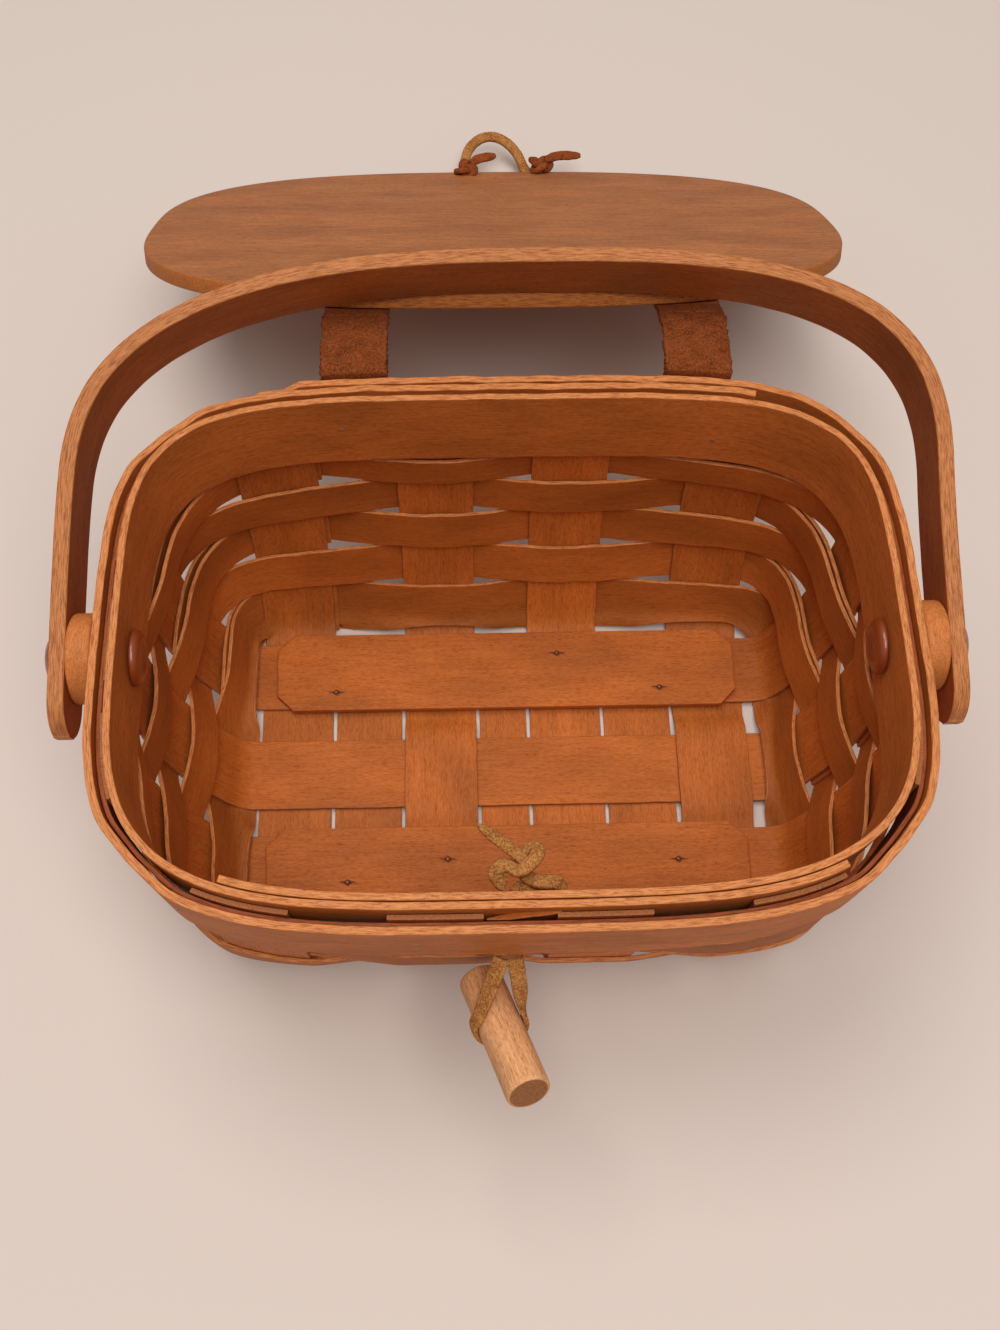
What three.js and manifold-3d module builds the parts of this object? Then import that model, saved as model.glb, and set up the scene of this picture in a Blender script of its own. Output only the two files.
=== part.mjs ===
import * as THREE from 'three';
import { mergeVertices } from 'three/addons/utils/BufferGeometryUtils.js';
import Module from 'manifold-3d';

// A small lidded splint basket. Millimetres, X to the right, Y to the back, Z up.
// The origin is the middle of the base on the floor.

// Splints and their fit
const SPLINT_THICKNESS = 1.0;
const SPLINT_WIDTH = 19.05;
const FIT_GAP = 0.25;

// Rim, measured at its top edge
const RIM_HEIGHT = 89;
const RIM_INNER_HALF_LENGTH = 83.2;
const RIM_INNER_HALF_WIDTH = 57.8;
const RIM_SQUARENESS_BACK = 4.4;
const RIM_SQUARENESS_FRONT = 3.8;
const RIM_LEAN = 1.2;
const INNER_BAND_THICKNESS = 1.6;
const OUTER_BAND_THICKNESS = 1.75;
const BAND_HEIGHT = 22.8;
const OUTER_BAND_DROP = 2;
const OUTER_LAP_SPREAD = 0.45;
const CORNER_TUCK = 1.0;
const INNER_LAP_FROM_X = -60;
const INNER_LAP_TO_X = 66;
const OUTER_LAP_FROM_X = 58;
const OUTER_LAP_TO_X = -61;
const LACE_SLOT_HEIGHT = 1.8;
const TOP_HOOP_HEIGHT = 13.5;
const TOP_HOOP_DROP = 4.5;
const UPRIGHT_TOP_DROP = 3.2;

// Base
const BASE_HALF_LENGTH = 70.75;
const BASE_HALF_WIDTH = 44.5;
const BASE_SHIFT = 1.65;
const BASE_SQUARENESS = 10;
const BASE_BEND_HEIGHT = 4.0;
const BASE_BEND_RUN = 1.8;
const WALL_CURVE = 2.3;
const LONG_UPRIGHT_X = [-55.1, -16.6, 17.0, 55.9];
const END_STRIP_FRONT_Y = -26.5;
const END_STRIP_BACK_Y = 28.5;
const FILLER_GAP = 1.0;
const FILLER_END_INSET = 5.5;
const RAISED_SPLINT_RAMP = 6;

// Boards over the outer end strips
const BOARD_THICKNESS = 1.8;
const BOARD_WIDTH = 22.5;
const BOARD_HALF_LENGTH = 62.5;
const BOARD_CORNER_CUT = 4.5;
const BACK_BOARD_X = 1.5;
const FRONT_BOARD_X = 0.5;
const BACK_BOARD_Y = 28.75;
const FRONT_BOARD_Y = -27;
const TACK_HEAD_RADIUS = 1.3;
const TACK_HEAD_HEIGHT = 0.5;
const TACK_SHANK_RADIUS = 0.45;

// Woven rows
const ROW_COUNT = 5;
const ROW_START = 2.4;
const ROW_PITCH = 12.95;
const ROW_GAP = 0.84;
const ROW_FOOT_LEAN = 1.4;
const WEAVER_THICKNESS = 1.0;
const WEAVER_BOW = 0.7;
const WEAVER_EDGE_MARGIN = 1.4;
const WEAVER_LAP_PASSES = 2;
const WEAVER_LAP_SPREAD = 0.5;

// Swing handle and its rivets
const PIVOT_BELOW_RIM = 13;
const HANDLE_STANDOFF = 13.7;
const HANDLE_PAST_STRAPS = 10.55;
const HANDLE_STRAIGHT = 37;
const HANDLE_SQUARENESS = 2.75;
const HANDLE_SIDEWAYS_LEAN = 8.6;
const HANDLE_LEAN_CURVE = 3.2;
const HANDLE_THICKNESS = 3.6;
const HANDLE_WIDTH = 16.2;
const HANDLE_TAIL = 17.5;
const HANDLE_BACK_ANGLE = 76.3;
const SPACER_RADIUS = 10;
const RIVET_SHANK_RADIUS = 1.8;
const RIVET_HOLE_CLEARANCE = 0.35;
const RIVET_INNER_HEAD_RADIUS = 6.35;
const RIVET_OUTER_HEAD_RADIUS = 5.8;
const RIVET_HEAD_HEIGHT = 2.2;
const RIVET_SEAT_CLEARANCE = 0.4;

// Lid and its straps
const LID_END_OVERHANG = 11.3;
const LID_SIDE_OVERHANG = 13.2;
const LID_THICKNESS = 4;
const LID_SEAT_GAP = 0.5;
const LID_EDGE_ROUND = 0.5;
const LID_SQUARENESS = 2.75;
const HINGE_BEHIND_LID = 8.8;
const HINGE_ABOVE_SEAT = 2.5;
const LID_OPEN_ANGLE = 215.5;
const STRAP_WIDTH = 15.4;
const STRAP_THICKNESS = 1.8;
const LEFT_STRAP_X = -34.5;
const RIGHT_STRAP_X = 45.5;
const STRAP_DROP = 19;
const STRAP_LID_HOLD = 21;

// Leather lace
const LACE_THICKNESS = 1.1;
const LACE_WIDTH = 3.2;
const LACE_LEFT_X = -3.7;
const LACE_RIGHT_X = -0.2;
const KNOT_RADIUS = 2.2;
const KNOT_STRAND_RADIUS = 0.95;
const KNOT_INSIDE_X = 3.2;
const KNOT_INSIDE_Y = -48;
const LID_KNOT_RADIUS = 1.7;
const LID_KNOT_STRAND_RADIUS = 0.75;
const LID_LACE_LEFT_X = -6;
const LID_LACE_RIGHT_X = 18.5;
const LID_LACE_EDGE = 3;
const LID_LACE_HOLE_RADIUS = 1.3;
const LID_LACE_WIDTH = 2.6;
const LID_LACE_THICKNESS = 2.4;
const LID_LOOP_REACH = 14.5;
const TAIL_LENGTH = 16;

// Toggle peg
const PEG_RADIUS = 4.75;
const PEG_LENGTH = 31;
const PEG_ROUND = 0.6;
const PEG_CENTRE = new THREE.Vector3(-3.1, -79, 55.5);
const PEG_DIRECTION = new THREE.Vector3(0.3, -0.85, 0.43).normalize();

// Levels and offsets that follow from the sizes
const wasm = await Module();
wasm.setup();

const SIDE_STEPS = [-1, -0.4, 0.4, 1];
const rimMidOffset = INNER_BAND_THICKNESS + FIT_GAP + SPLINT_THICKNESS / 2;
const lapStep = INNER_BAND_THICKNESS + FIT_GAP;
const rimHalfLength = RIM_INNER_HALF_LENGTH + rimMidOffset;
const rimHalfBack = RIM_INNER_HALF_WIDTH + rimMidOffset;
const rimHalfFront = rimHalfBack + lapStep;
const bandBottom = RIM_HEIGHT - BAND_HEIGHT;
const outerBandTop = RIM_HEIGHT - OUTER_BAND_DROP;
const weaveTop = bandBottom - LACE_SLOT_HEIGHT;
const uprightTop = RIM_HEIGHT - UPRIGHT_TOP_DROP;
const layerPitch = SPLINT_THICKNESS + FIT_GAP;
const lowSplintZ = SPLINT_THICKNESS / 2;
const stripZ = lowSplintZ + layerPitch;
const raisedSplintZ = stripZ + layerPitch;
const boardBottom = stripZ + SPLINT_THICKNESS / 2 + FIT_GAP;
const innerBandOffset = -(SPLINT_THICKNESS + INNER_BAND_THICKNESS) / 2 - FIT_GAP;
const topHoopOffset = (SPLINT_THICKNESS + WEAVER_THICKNESS) / 2 + FIT_GAP;
const outerBandOffset = topHoopOffset + (WEAVER_THICKNESS + OUTER_BAND_THICKNESS) / 2 + FIT_GAP;
const outerLapOffset = outerBandOffset + OUTER_BAND_THICKNESS + OUTER_LAP_SPREAD;
const weaverOffset = (SPLINT_THICKNESS + WEAVER_THICKNESS) / 2 + FIT_GAP;
const weaverLapStep = WEAVER_THICKNESS + WEAVER_LAP_SPREAD;
const pivotHeight = RIM_HEIGHT - PIVOT_BELOW_RIM;
const handleHalfSpan = RIM_INNER_HALF_LENGTH + HANDLE_STANDOFF;
const lidHalfLength = RIM_INNER_HALF_LENGTH + LID_END_OVERHANG;
const lidBackY = RIM_INNER_HALF_WIDTH + LID_SIDE_OVERHANG;
const lidFrontY = -lidBackY;
const lidUnderside = RIM_HEIGHT + LID_SEAT_GAP;
const lidTop = lidUnderside + LID_THICKNESS;
const hingeY = lidBackY + HINGE_BEHIND_LID;
const hingeZ = lidUnderside + HINGE_ABOVE_SEAT;
const handleReach = hingeY + HANDLE_PAST_STRAPS;
const rivetHoleRadius = RIVET_SHANK_RADIUS + RIVET_HOLE_CLEARANCE;
const levels = [];
for (let row = 0; row < ROW_COUNT; row += 1) {
  levels.push(ROW_START + row * ROW_PITCH);
}
levels.push(weaveTop, RIM_HEIGHT);

const radians = THREE.MathUtils.degToRad;
const ease = (share) => (1 - Math.cos(Math.PI * THREE.MathUtils.clamp(share, 0, 1))) / 2;

// Materials
const woodMaterial = (color) => new THREE.MeshStandardMaterial({ color, roughness: 0.6, metalness: 0 });
const splintWood = '#b4652f';
const bandWood = '#bf7038';
const handleWood = '#a95c2c';
const lidWood = '#a4673f';
const pegWood = '#c07c4a';
const suedeMaterial = () => new THREE.MeshStandardMaterial({ color: '#8a4423', roughness: 0.95, metalness: 0 });
const laceMaterial = () => new THREE.MeshStandardMaterial({ color: '#b3824a', roughness: 0.9, metalness: 0 });
const rivetMaterial = () => new THREE.MeshStandardMaterial({ color: '#6d2a17', roughness: 0.35, metalness: 0.2 });
const tackMaterial = () => new THREE.MeshStandardMaterial({ color: '#8c8378', roughness: 0.4, metalness: 0.9 });

// Plan outline of the wall at a height: a squared ellipse, its front half fuller and rounder than its
// back half. The wall draws in and turns squarer towards the base, which sits a little to the right.
function outlineAt(z) {
  const drop = THREE.MathUtils.clamp((weaveTop - z) / (weaveTop - ROW_START), 0, 1);
  const down = drop ** WALL_CURVE;
  const lean = RIM_LEAN * Math.min(1, (RIM_HEIGHT - z) / (RIM_HEIGHT - weaveTop));
  const flare = (rim, base) => rim - lean - (rim - RIM_LEAN - base) * down;
  const square = (rim) => rim + (BASE_SQUARENESS - rim) * down;
  return {
    middleX: BASE_SHIFT * down,
    halfLength: flare(rimHalfLength, BASE_HALF_LENGTH),
    back: { halfWidth: flare(rimHalfBack, BASE_HALF_WIDTH), squareness: square(RIM_SQUARENESS_BACK) },
    front: { halfWidth: flare(rimHalfFront, BASE_HALF_WIDTH), squareness: square(RIM_SQUARENESS_FRONT) },
  };
}

const signedPower = (value, power) => Math.sign(value) * Math.abs(value) ** power;

function outlinePoint(outline, phi, z) {
  const sine = Math.sin(phi);
  const half = sine < 0 ? outline.front : outline.back;
  const power = 2 / half.squareness;
  const x = outline.middleX + outline.halfLength * signedPower(Math.cos(phi), power);
  return new THREE.Vector3(x, half.halfWidth * signedPower(sine, power), z);
}

// The wall is straight between two levels, so that rows and uprights lie on the same facets
function wallPoint(z, phi) {
  let index = 0;
  while (index < levels.length - 2 && z > levels[index + 1]) {
    index += 1;
  }
  const low = levels[index];
  const high = levels[index + 1];
  const share = (z - low) / (high - low);
  const bottom = outlinePoint(outlineAt(low), phi, low);
  return bottom.lerp(outlinePoint(outlineAt(high), phi, high), share);
}

function wallNormal(z, phi) {
  const turn = 0.004;
  const rise = 0.5;
  const along = wallPoint(z, phi + turn).sub(wallPoint(z, phi - turn));
  const up = wallPoint(z + rise, phi).sub(wallPoint(z - rise, phi));
  return along.cross(up).normalize();
}

const offWall = (z, phi, offset) => wallPoint(z, phi).addScaledVector(wallNormal(z, phi), offset);

// Angle on the outline where it crosses a given X (front or back) or a given Y (left or right)
function phiAtX(x, z, side) {
  const outline = outlineAt(z);
  const half = side < 0 ? outline.front : outline.back;
  const share = (x - outline.middleX) / outline.halfLength;
  const angle = Math.acos(signedPower(share, half.squareness / 2));
  return side > 0 ? angle : 2 * Math.PI - angle;
}

function phiAtY(y, z, side) {
  const outline = outlineAt(z);
  const half = y < 0 ? outline.front : outline.back;
  const angle = Math.asin(signedPower(y / half.halfWidth, half.squareness / 2));
  return side > 0 ? angle : Math.PI - angle;
}

function yOnWall(x, z, side) {
  const outline = outlineAt(z);
  const half = side < 0 ? outline.front : outline.back;
  const share = Math.min(1, Math.abs(x - outline.middleX) / outline.halfLength);
  return side * half.halfWidth * (1 - share ** half.squareness) ** (1 / half.squareness);
}

function xOnWall(y, z, side) {
  const outline = outlineAt(z);
  const half = y < 0 ? outline.front : outline.back;
  const share = Math.min(1, Math.abs(y) / half.halfWidth);
  const reach = outline.halfLength * (1 - share ** half.squareness) ** (1 / half.squareness);
  return outline.middleX + side * reach;
}

// Solids
function signedVolume(positions, indices) {
  const a = new THREE.Vector3();
  const b = new THREE.Vector3();
  const c = new THREE.Vector3();
  let sum = 0;
  for (let i = 0; i < indices.length; i += 3) {
    a.fromArray(positions, 3 * indices[i]);
    b.fromArray(positions, 3 * indices[i + 1]);
    c.fromArray(positions, 3 * indices[i + 2]);
    sum += a.dot(b.cross(c));
  }
  return sum / 6;
}

function solidGeometry(positions, indices) {
  if (signedVolume(positions, indices) < 0) {
    for (let i = 0; i < indices.length; i += 3) {
      [indices[i + 1], indices[i + 2]] = [indices[i + 2], indices[i + 1]];
    }
  }
  const geometry = new THREE.BufferGeometry();
  geometry.setAttribute('position', new THREE.Float32BufferAttribute(positions, 3));
  geometry.setIndex(indices);
  geometry.computeVertexNormals();
  return geometry;
}

// Normal of a grid of points at station i and column j
function gridNormal(grid, i, j, closed) {
  const last = grid.length - 1;
  const before = closed ? (i + last) % grid.length : Math.max(0, i - 1);
  const after = closed ? (i + 1) % grid.length : Math.min(last, i + 1);
  const along = grid[after][j].clone().sub(grid[before][j]);
  const columns = grid[i].length - 1;
  const across = grid[i][Math.min(columns, j + 1)].clone().sub(grid[i][Math.max(0, j - 1)]);
  return along.cross(across).normalize();
}

// A thin solid of even thickness around a grid of points: stations along it, columns across it
function sheetSolid(grid, thickness, closed = false) {
  const columns = grid[0].length;
  const positions = [];
  grid.forEach((station, i) => {
    for (const side of [0.5, -0.5]) {
      station.forEach((point, j) => {
        const moved = point.clone().addScaledVector(gridNormal(grid, i, j, closed), side * thickness);
        positions.push(...moved.toArray());
      });
    }
  });
  const front = (i, j) => (i % grid.length) * 2 * columns + j;
  const back = (i, j) => front(i, j) + columns;
  const indices = [];
  const quad = (a, b, c, d) => indices.push(a, b, c, a, c, d);
  const spans = closed ? grid.length : grid.length - 1;
  for (let i = 0; i < spans; i += 1) {
    for (let j = 0; j < columns - 1; j += 1) {
      quad(front(i, j), front(i + 1, j), front(i + 1, j + 1), front(i, j + 1));
      quad(back(i, j), back(i, j + 1), back(i + 1, j + 1), back(i + 1, j));
    }
    quad(front(i, 0), back(i, 0), back(i + 1, 0), front(i + 1, 0));
    quad(front(i, columns - 1), front(i + 1, columns - 1), back(i + 1, columns - 1), back(i, columns - 1));
  }
  if (!closed) {
    const last = grid.length - 1;
    for (let j = 0; j < columns - 1; j += 1) {
      quad(front(0, j), front(0, j + 1), back(0, j + 1), back(0, j));
      quad(front(last, j), back(last, j), back(last, j + 1), front(last, j + 1));
    }
  }
  return solidGeometry(positions, indices);
}

// A flat strip bent along a path, its width along a given direction at each station
function stripSolid(path, widthDirection, width, thickness) {
  const grid = path.map((point, i) => {
    const direction = typeof widthDirection === 'function' ? widthDirection(i) : widthDirection;
    return [
      point.clone().addScaledVector(direction, -width / 2),
      point.clone().addScaledVector(direction, width / 2),
    ];
  });
  return sheetSolid(grid, thickness);
}

function toManifold(geometry) {
  const bare = geometry.clone();
  bare.deleteAttribute('normal');
  bare.deleteAttribute('uv');
  const merged = mergeVertices(bare, 1e-5);
  const mesh = new wasm.Mesh({
    numProp: 3,
    vertProperties: new Float32Array(merged.getAttribute('position').array),
    triVerts: new Uint32Array(merged.getIndex().array),
  });
  return new wasm.Manifold(mesh);
}

function cutAway(geometry, cutters) {
  let solid = toManifold(geometry);
  for (const cutter of cutters) {
    solid = solid.subtract(toManifold(cutter));
  }
  const mesh = solid.getMesh();
  const result = new THREE.BufferGeometry();
  result.setAttribute('position', new THREE.BufferAttribute(new Float32Array(mesh.vertProperties), 3));
  result.setIndex(new THREE.BufferAttribute(new Uint32Array(mesh.triVerts), 1));
  result.computeVertexNormals();
  return result;
}

// Round bar along an axis through a centre, used for holes and pegs
function barAlong(axis, centre, radius, length, sides) {
  const geometry = new THREE.CylinderGeometry(radius, radius, length, sides);
  const turn = new THREE.Quaternion().setFromUnitVectors(new THREE.Vector3(0, 1, 0), axis);
  geometry.applyQuaternion(turn);
  geometry.translate(centre.x, centre.y, centre.z);
  return geometry;
}

const basket = new THREE.Group();

function addPiece(parent, name, geometry, material) {
  const mesh = new THREE.Mesh(geometry, material);
  mesh.name = name;
  parent.add(mesh);
  return mesh;
}

// Rivet holes go through both ends of the rim along X
function rivetHole(side, from, to) {
  const centre = new THREE.Vector3(side * (from + to) / 2, 0, pivotHeight);
  return barAlong(new THREE.Vector3(1, 0, 0), centre, rivetHoleRadius, to - from, 16);
}

const rimHoles = [-1, 1].map((side) => rivetHole(side, RIM_INNER_HALF_LENGTH - 8, rimHalfLength + 12));

// Base level, bend and wall of one line of a splint, from its turned-up end on one side to the other.
// place(across, z) gives the point; edge(level, side) gives where the wall stands at a level.
function splintLine(place, edge, floorZ, floorPoints) {
  const sideLine = (side) => {
    const points = [];
    for (const z of [uprightTop, ...levels.slice(1, ROW_COUNT + 1).reverse()]) {
      points.push(place(edge(z, side), z));
    }
    const slope = (edge(levels[1], side) - edge(levels[0], side)) / ROW_PITCH;
    const foot = edge(levels[0], side) + slope * (BASE_BEND_HEIGHT - levels[0]);
    const corner = foot - slope * (BASE_BEND_HEIGHT - floorZ);
    const bend = new THREE.QuadraticBezierCurve(
      new THREE.Vector2(foot, BASE_BEND_HEIGHT),
      new THREE.Vector2(corner, floorZ),
      new THREE.Vector2(corner - side * BASE_BEND_RUN, floorZ),
    );
    for (const point of bend.getPoints(5)) {
      points.push(place(point.x, point.y));
    }
    return points;
  };
  return [...sideLine(-1), ...floorPoints, ...sideLine(1).reverse()];
}

function transpose(lines) {
  return lines[0].map((_, i) => lines.map((line) => line[i]));
}

// An upright that runs front to back, across the base and up both long walls
function longUpright(x, raised) {
  const stripHalf = SPLINT_WIDTH / 2 + FILLER_GAP;
  const lines = SIDE_STEPS.map((step) => {
    const lineX = x + step * SPLINT_WIDTH / 2;
    const floor = [];
    if (raised) {
      for (const y of [-1, -0.75, -0.5, -0.25, 0]) {
        const z = lowSplintZ + (raisedSplintZ - lowSplintZ) * ease(1 + y);
        floor.push(new THREE.Vector3(lineX, y * RAISED_SPLINT_RAMP - stripHalf, z));
      }
      floor.push(...floor.map((p) => new THREE.Vector3(p.x, -p.y, p.z)).reverse());
    } else {
      floor.push(new THREE.Vector3(lineX, 0, lowSplintZ));
    }
    const place = (y, z) => new THREE.Vector3(lineX, y, z);
    return splintLine(place, (z, side) => yOnWall(lineX, z, side), lowSplintZ, floor);
  });
  return sheetSolid(transpose(lines), SPLINT_THICKNESS);
}

// An upright that runs left to right, over the long uprights and up both end walls
function endUpright(y) {
  const lines = SIDE_STEPS.map((step) => {
    const lineY = y + step * SPLINT_WIDTH / 2;
    const place = (x, z) => new THREE.Vector3(x, lineY, z);
    const floor = [new THREE.Vector3(0, lineY, stripZ)];
    return splintLine(place, (z, side) => xOnWall(lineY, z, side), stripZ, floor);
  });
  return sheetSolid(transpose(lines), SPLINT_THICKNESS);
}

// Where each upright meets the wall, in the order met when going round from the right end
const uprights = [];
const addLong = (x, side) => uprights.push({ kind: 'x', at: x, side });
const addEnd = (y, side) => uprights.push({ kind: 'y', at: y, side });
addEnd(0, 1);
addEnd(END_STRIP_BACK_Y, 1);
[...LONG_UPRIGHT_X].reverse().forEach((x) => addLong(x, 1));
addEnd(END_STRIP_BACK_Y, -1);
addEnd(0, -1);
addEnd(END_STRIP_FRONT_Y, -1);
LONG_UPRIGHT_X.forEach((x) => addLong(x, -1));
addEnd(END_STRIP_FRONT_Y, 1);

// Outline angle at a place across an upright, step -1 to 1 in the direction of travel
function uprightPhi(upright, step, z) {
  const reach = step * (SPLINT_WIDTH / 2 + WEAVER_EDGE_MARGIN);
  if (upright.kind === 'x') {
    return phiAtX(upright.at - upright.side * reach, z, upright.side);
  }
  return phiAtY(upright.at + upright.side * reach, z, upright.side);
}

const fullTurn = 2 * Math.PI;
const after = (phi, previous) => phi + fullTurn * Math.max(0, Math.ceil((previous - phi) / fullTurn - 1e-9));

// A woven row: it passes inside every second upright and outside the others, bows over each one,
// and its two ends lap over two uprights, the second layer always outside the first. The lowest row
// leans in at its foot where it passes inside, clear of the bend of the uprights.
function wovenRow(row) {
  const middle = (levels[row] + levels[row + 1]) / 2;
  const bottom = levels[row] + ROW_GAP / 2;
  const top = levels[row + 1] - ROW_GAP / 2;
  const startIndex = row % 2 === 0 ? 5 : 1;
  const passes = uprights.length + WEAVER_LAP_PASSES;
  const stations = [];
  let previous = -Infinity;
  for (let pass = 0; pass < passes; pass += 1) {
    const index = (startIndex + pass) % uprights.length;
    const upright = uprights[index];
    const inside = (index + row) % 2 === 0;
    let layer = 0;
    if (inside && pass < WEAVER_LAP_PASSES) {
      layer = -weaverLapStep;
    }
    if (!inside && pass >= uprights.length) {
      layer = weaverLapStep;
    }
    const sign = inside ? -1 : 1;
    SIDE_STEPS.forEach((step, place) => {
      let phi = uprightPhi(upright, step, middle);
      if (previous === -Infinity) {
        previous = phi;
      }
      phi = after(phi, previous - 1e-6);
      const offset = layer + sign * (weaverOffset + WEAVER_BOW * (1 - step * step));
      const lean = inside && row === 0 ? ROW_FOOT_LEAN : 0;
      if (place === 0 && stations.length > 0) {
        const from = stations[stations.length - 1];
        const corner = upright.kind !== uprights[(index + uprights.length - 1) % uprights.length].kind;
        const steps = corner ? 6 : 3;
        for (let i = 1; i < steps; i += 1) {
          const share = i / steps;
          stations.push({
            phi: from.phi + (phi - from.phi) * share,
            offset: from.offset + (offset - from.offset) * ease(share),
            lean: from.lean + (lean - from.lean) * ease(share),
          });
        }
      }
      stations.push({ phi, offset, lean });
      previous = phi;
    });
  }
  const grid = stations.map(({ phi, offset, lean }) => [
    offWall(bottom, phi, offset - lean),
    offWall(top, phi, offset),
  ]);
  return sheetSolid(grid, WEAVER_THICKNESS);
}

// Angles around the rim, close together where the outline turns
function rimStations(fromPhi, toPhi) {
  const step = 5.6;
  const fine = 0.004;
  const phis = [fromPhi];
  let last = wallPoint(RIM_HEIGHT, fromPhi);
  for (let phi = fromPhi; phi < toPhi; phi += fine) {
    const point = wallPoint(RIM_HEIGHT, phi);
    if (point.distanceTo(last) > step && toPhi - phi > 3 * fine) {
      phis.push(phi);
      last = point;
    }
  }
  phis.push(toPhi);
  return phis;
}

// Share of the way into a corner of the rim, where no upright holds the hoops apart
const cornerSpans = uprights.map((upright, i) => {
  const next = uprights[(i + 1) % uprights.length];
  const from = uprightPhi(upright, 1, RIM_HEIGHT);
  return { from, to: after(uprightPhi(next, -1, RIM_HEIGHT), from), isCorner: next.kind !== upright.kind };
}).filter((span) => span.isCorner);

function cornerTuck(phi) {
  for (const span of cornerSpans) {
    const turned = after(phi % fullTurn, span.from);
    const share = (turned - span.from) / (span.to - span.from);
    if (share > 0 && share < 1) {
      return CORNER_TUCK * ease(2.5 * Math.min(share, 1 - share));
    }
  }
  return 0;
}

// Inner band: starts inside at the front left, goes round and ends in a second layer at the front right
function innerBand() {
  const fromPhi = phiAtX(INNER_LAP_FROM_X, RIM_HEIGHT, -1);
  const toPhi = phiAtX(INNER_LAP_TO_X, RIM_HEIGHT, -1) + fullTurn;
  const settle = fullTurn + phiAtY(0, RIM_HEIGHT, 1);
  const leave = phiAtX(INNER_LAP_TO_X, RIM_HEIGHT, -1);
  const grid = rimStations(fromPhi, toPhi).map((phi) => {
    const offset = innerBandOffset - lapStep * (1 - ease((phi - leave) / (settle - leave)));
    return [offWall(bandBottom, phi, offset), offWall(RIM_HEIGHT, phi, offset)];
  });
  return cutAway(sheetSolid(grid, INNER_BAND_THICKNESS), rimHoles);
}

// Outer band: starts at the back right, goes round and ends in a second layer at the back left
function outerBand() {
  const fromPhi = phiAtX(OUTER_LAP_FROM_X, RIM_HEIGHT, 1);
  const toPhi = phiAtX(OUTER_LAP_TO_X, RIM_HEIGHT, 1) + fullTurn;
  const rise = fullTurn + phiAtY(SPACER_RADIUS, RIM_HEIGHT, 1);
  const risen = fullTurn + fromPhi - 0.05;
  const grid = rimStations(fromPhi, toPhi).map((phi) => {
    const share = ease((phi - rise) / (risen - rise));
    const offset = outerBandOffset + (outerLapOffset - outerBandOffset) * share - cornerTuck(phi);
    return [offWall(bandBottom, phi, offset), offWall(outerBandTop, phi, offset)];
  });
  return cutAway(sheetSolid(grid, OUTER_BAND_THICKNESS), rimHoles);
}

// Hoop hidden between the uprights and the outer band
function topHoop() {
  const top = RIM_HEIGHT - TOP_HOOP_DROP;
  const grid = rimStations(0, fullTurn).slice(0, -1).map((phi) => [
    offWall(top - TOP_HOOP_HEIGHT, phi, topHoopOffset - cornerTuck(phi)),
    offWall(top, phi, topHoopOffset - cornerTuck(phi)),
  ]);
  return cutAway(sheetSolid(grid, WEAVER_THICKNESS, true), rimHoles);
}

// Base fillers between the long uprights, on the base only
function filler(fromX, toX) {
  const endY = BASE_HALF_WIDTH - FILLER_END_INSET;
  const geometry = new THREE.BoxGeometry(toX - fromX, 2 * endY, SPLINT_THICKNESS);
  geometry.translate((fromX + toX) / 2, 0, lowSplintZ);
  return geometry;
}

// Board with clipped corners, laid over an end strip and held by tacks at given shares of its size
const boards = [
  { name: 'back', x: BACK_BOARD_X, y: BACK_BOARD_Y, tacks: [[-0.74, -0.55], [0.22, 0.4], [0.66, -0.55]] },
  { name: 'front', x: FRONT_BOARD_X, y: FRONT_BOARD_Y, tacks: [[-0.66, -0.3], [-0.25, 0.2], [0.7, 0.1]] },
].map((spec) => ({
  ...spec,
  tacks: spec.tacks.map(([along, across]) => new THREE.Vector2(
    spec.x + along * BOARD_HALF_LENGTH,
    spec.y + across * BOARD_WIDTH / 2,
  )),
}));

function boardGeometry({ x, y, tacks }) {
  const left = x - BOARD_HALF_LENGTH;
  const right = x + BOARD_HALF_LENGTH;
  const front = y - BOARD_WIDTH / 2;
  const back = y + BOARD_WIDTH / 2;
  const cut = BOARD_CORNER_CUT;
  const shape = new THREE.Shape();
  shape.moveTo(left + cut, front);
  shape.lineTo(right - cut, front);
  shape.lineTo(right, front + cut);
  shape.lineTo(right, back - cut);
  shape.lineTo(right - cut, back);
  shape.lineTo(left + cut, back);
  shape.lineTo(left, back - cut);
  shape.lineTo(left, front + cut);
  for (const place of tacks) {
    const hole = new THREE.Path();
    hole.absarc(place.x, place.y, TACK_SHANK_RADIUS + FIT_GAP, 0, fullTurn, true);
    shape.holes.push(hole);
  }
  const geometry = new THREE.ExtrudeGeometry(shape, {
    depth: BOARD_THICKNESS,
    bevelEnabled: false,
    curveSegments: 4,
  });
  geometry.translate(0, 0, boardBottom);
  return geometry;
}

// Round-headed tack standing on its shank, head up
function tackGeometry(shankLength) {
  const profile = [
    new THREE.Vector2(0, -shankLength),
    new THREE.Vector2(TACK_SHANK_RADIUS, -shankLength + 0.4),
    new THREE.Vector2(TACK_SHANK_RADIUS, 0),
    new THREE.Vector2(TACK_HEAD_RADIUS, 0),
    new THREE.Vector2(TACK_HEAD_RADIUS * 0.75, TACK_HEAD_HEIGHT * 0.7),
    new THREE.Vector2(0, TACK_HEAD_HEIGHT),
  ];
  return new THREE.LatheGeometry(profile, 8).rotateX(Math.PI / 2);
}

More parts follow.
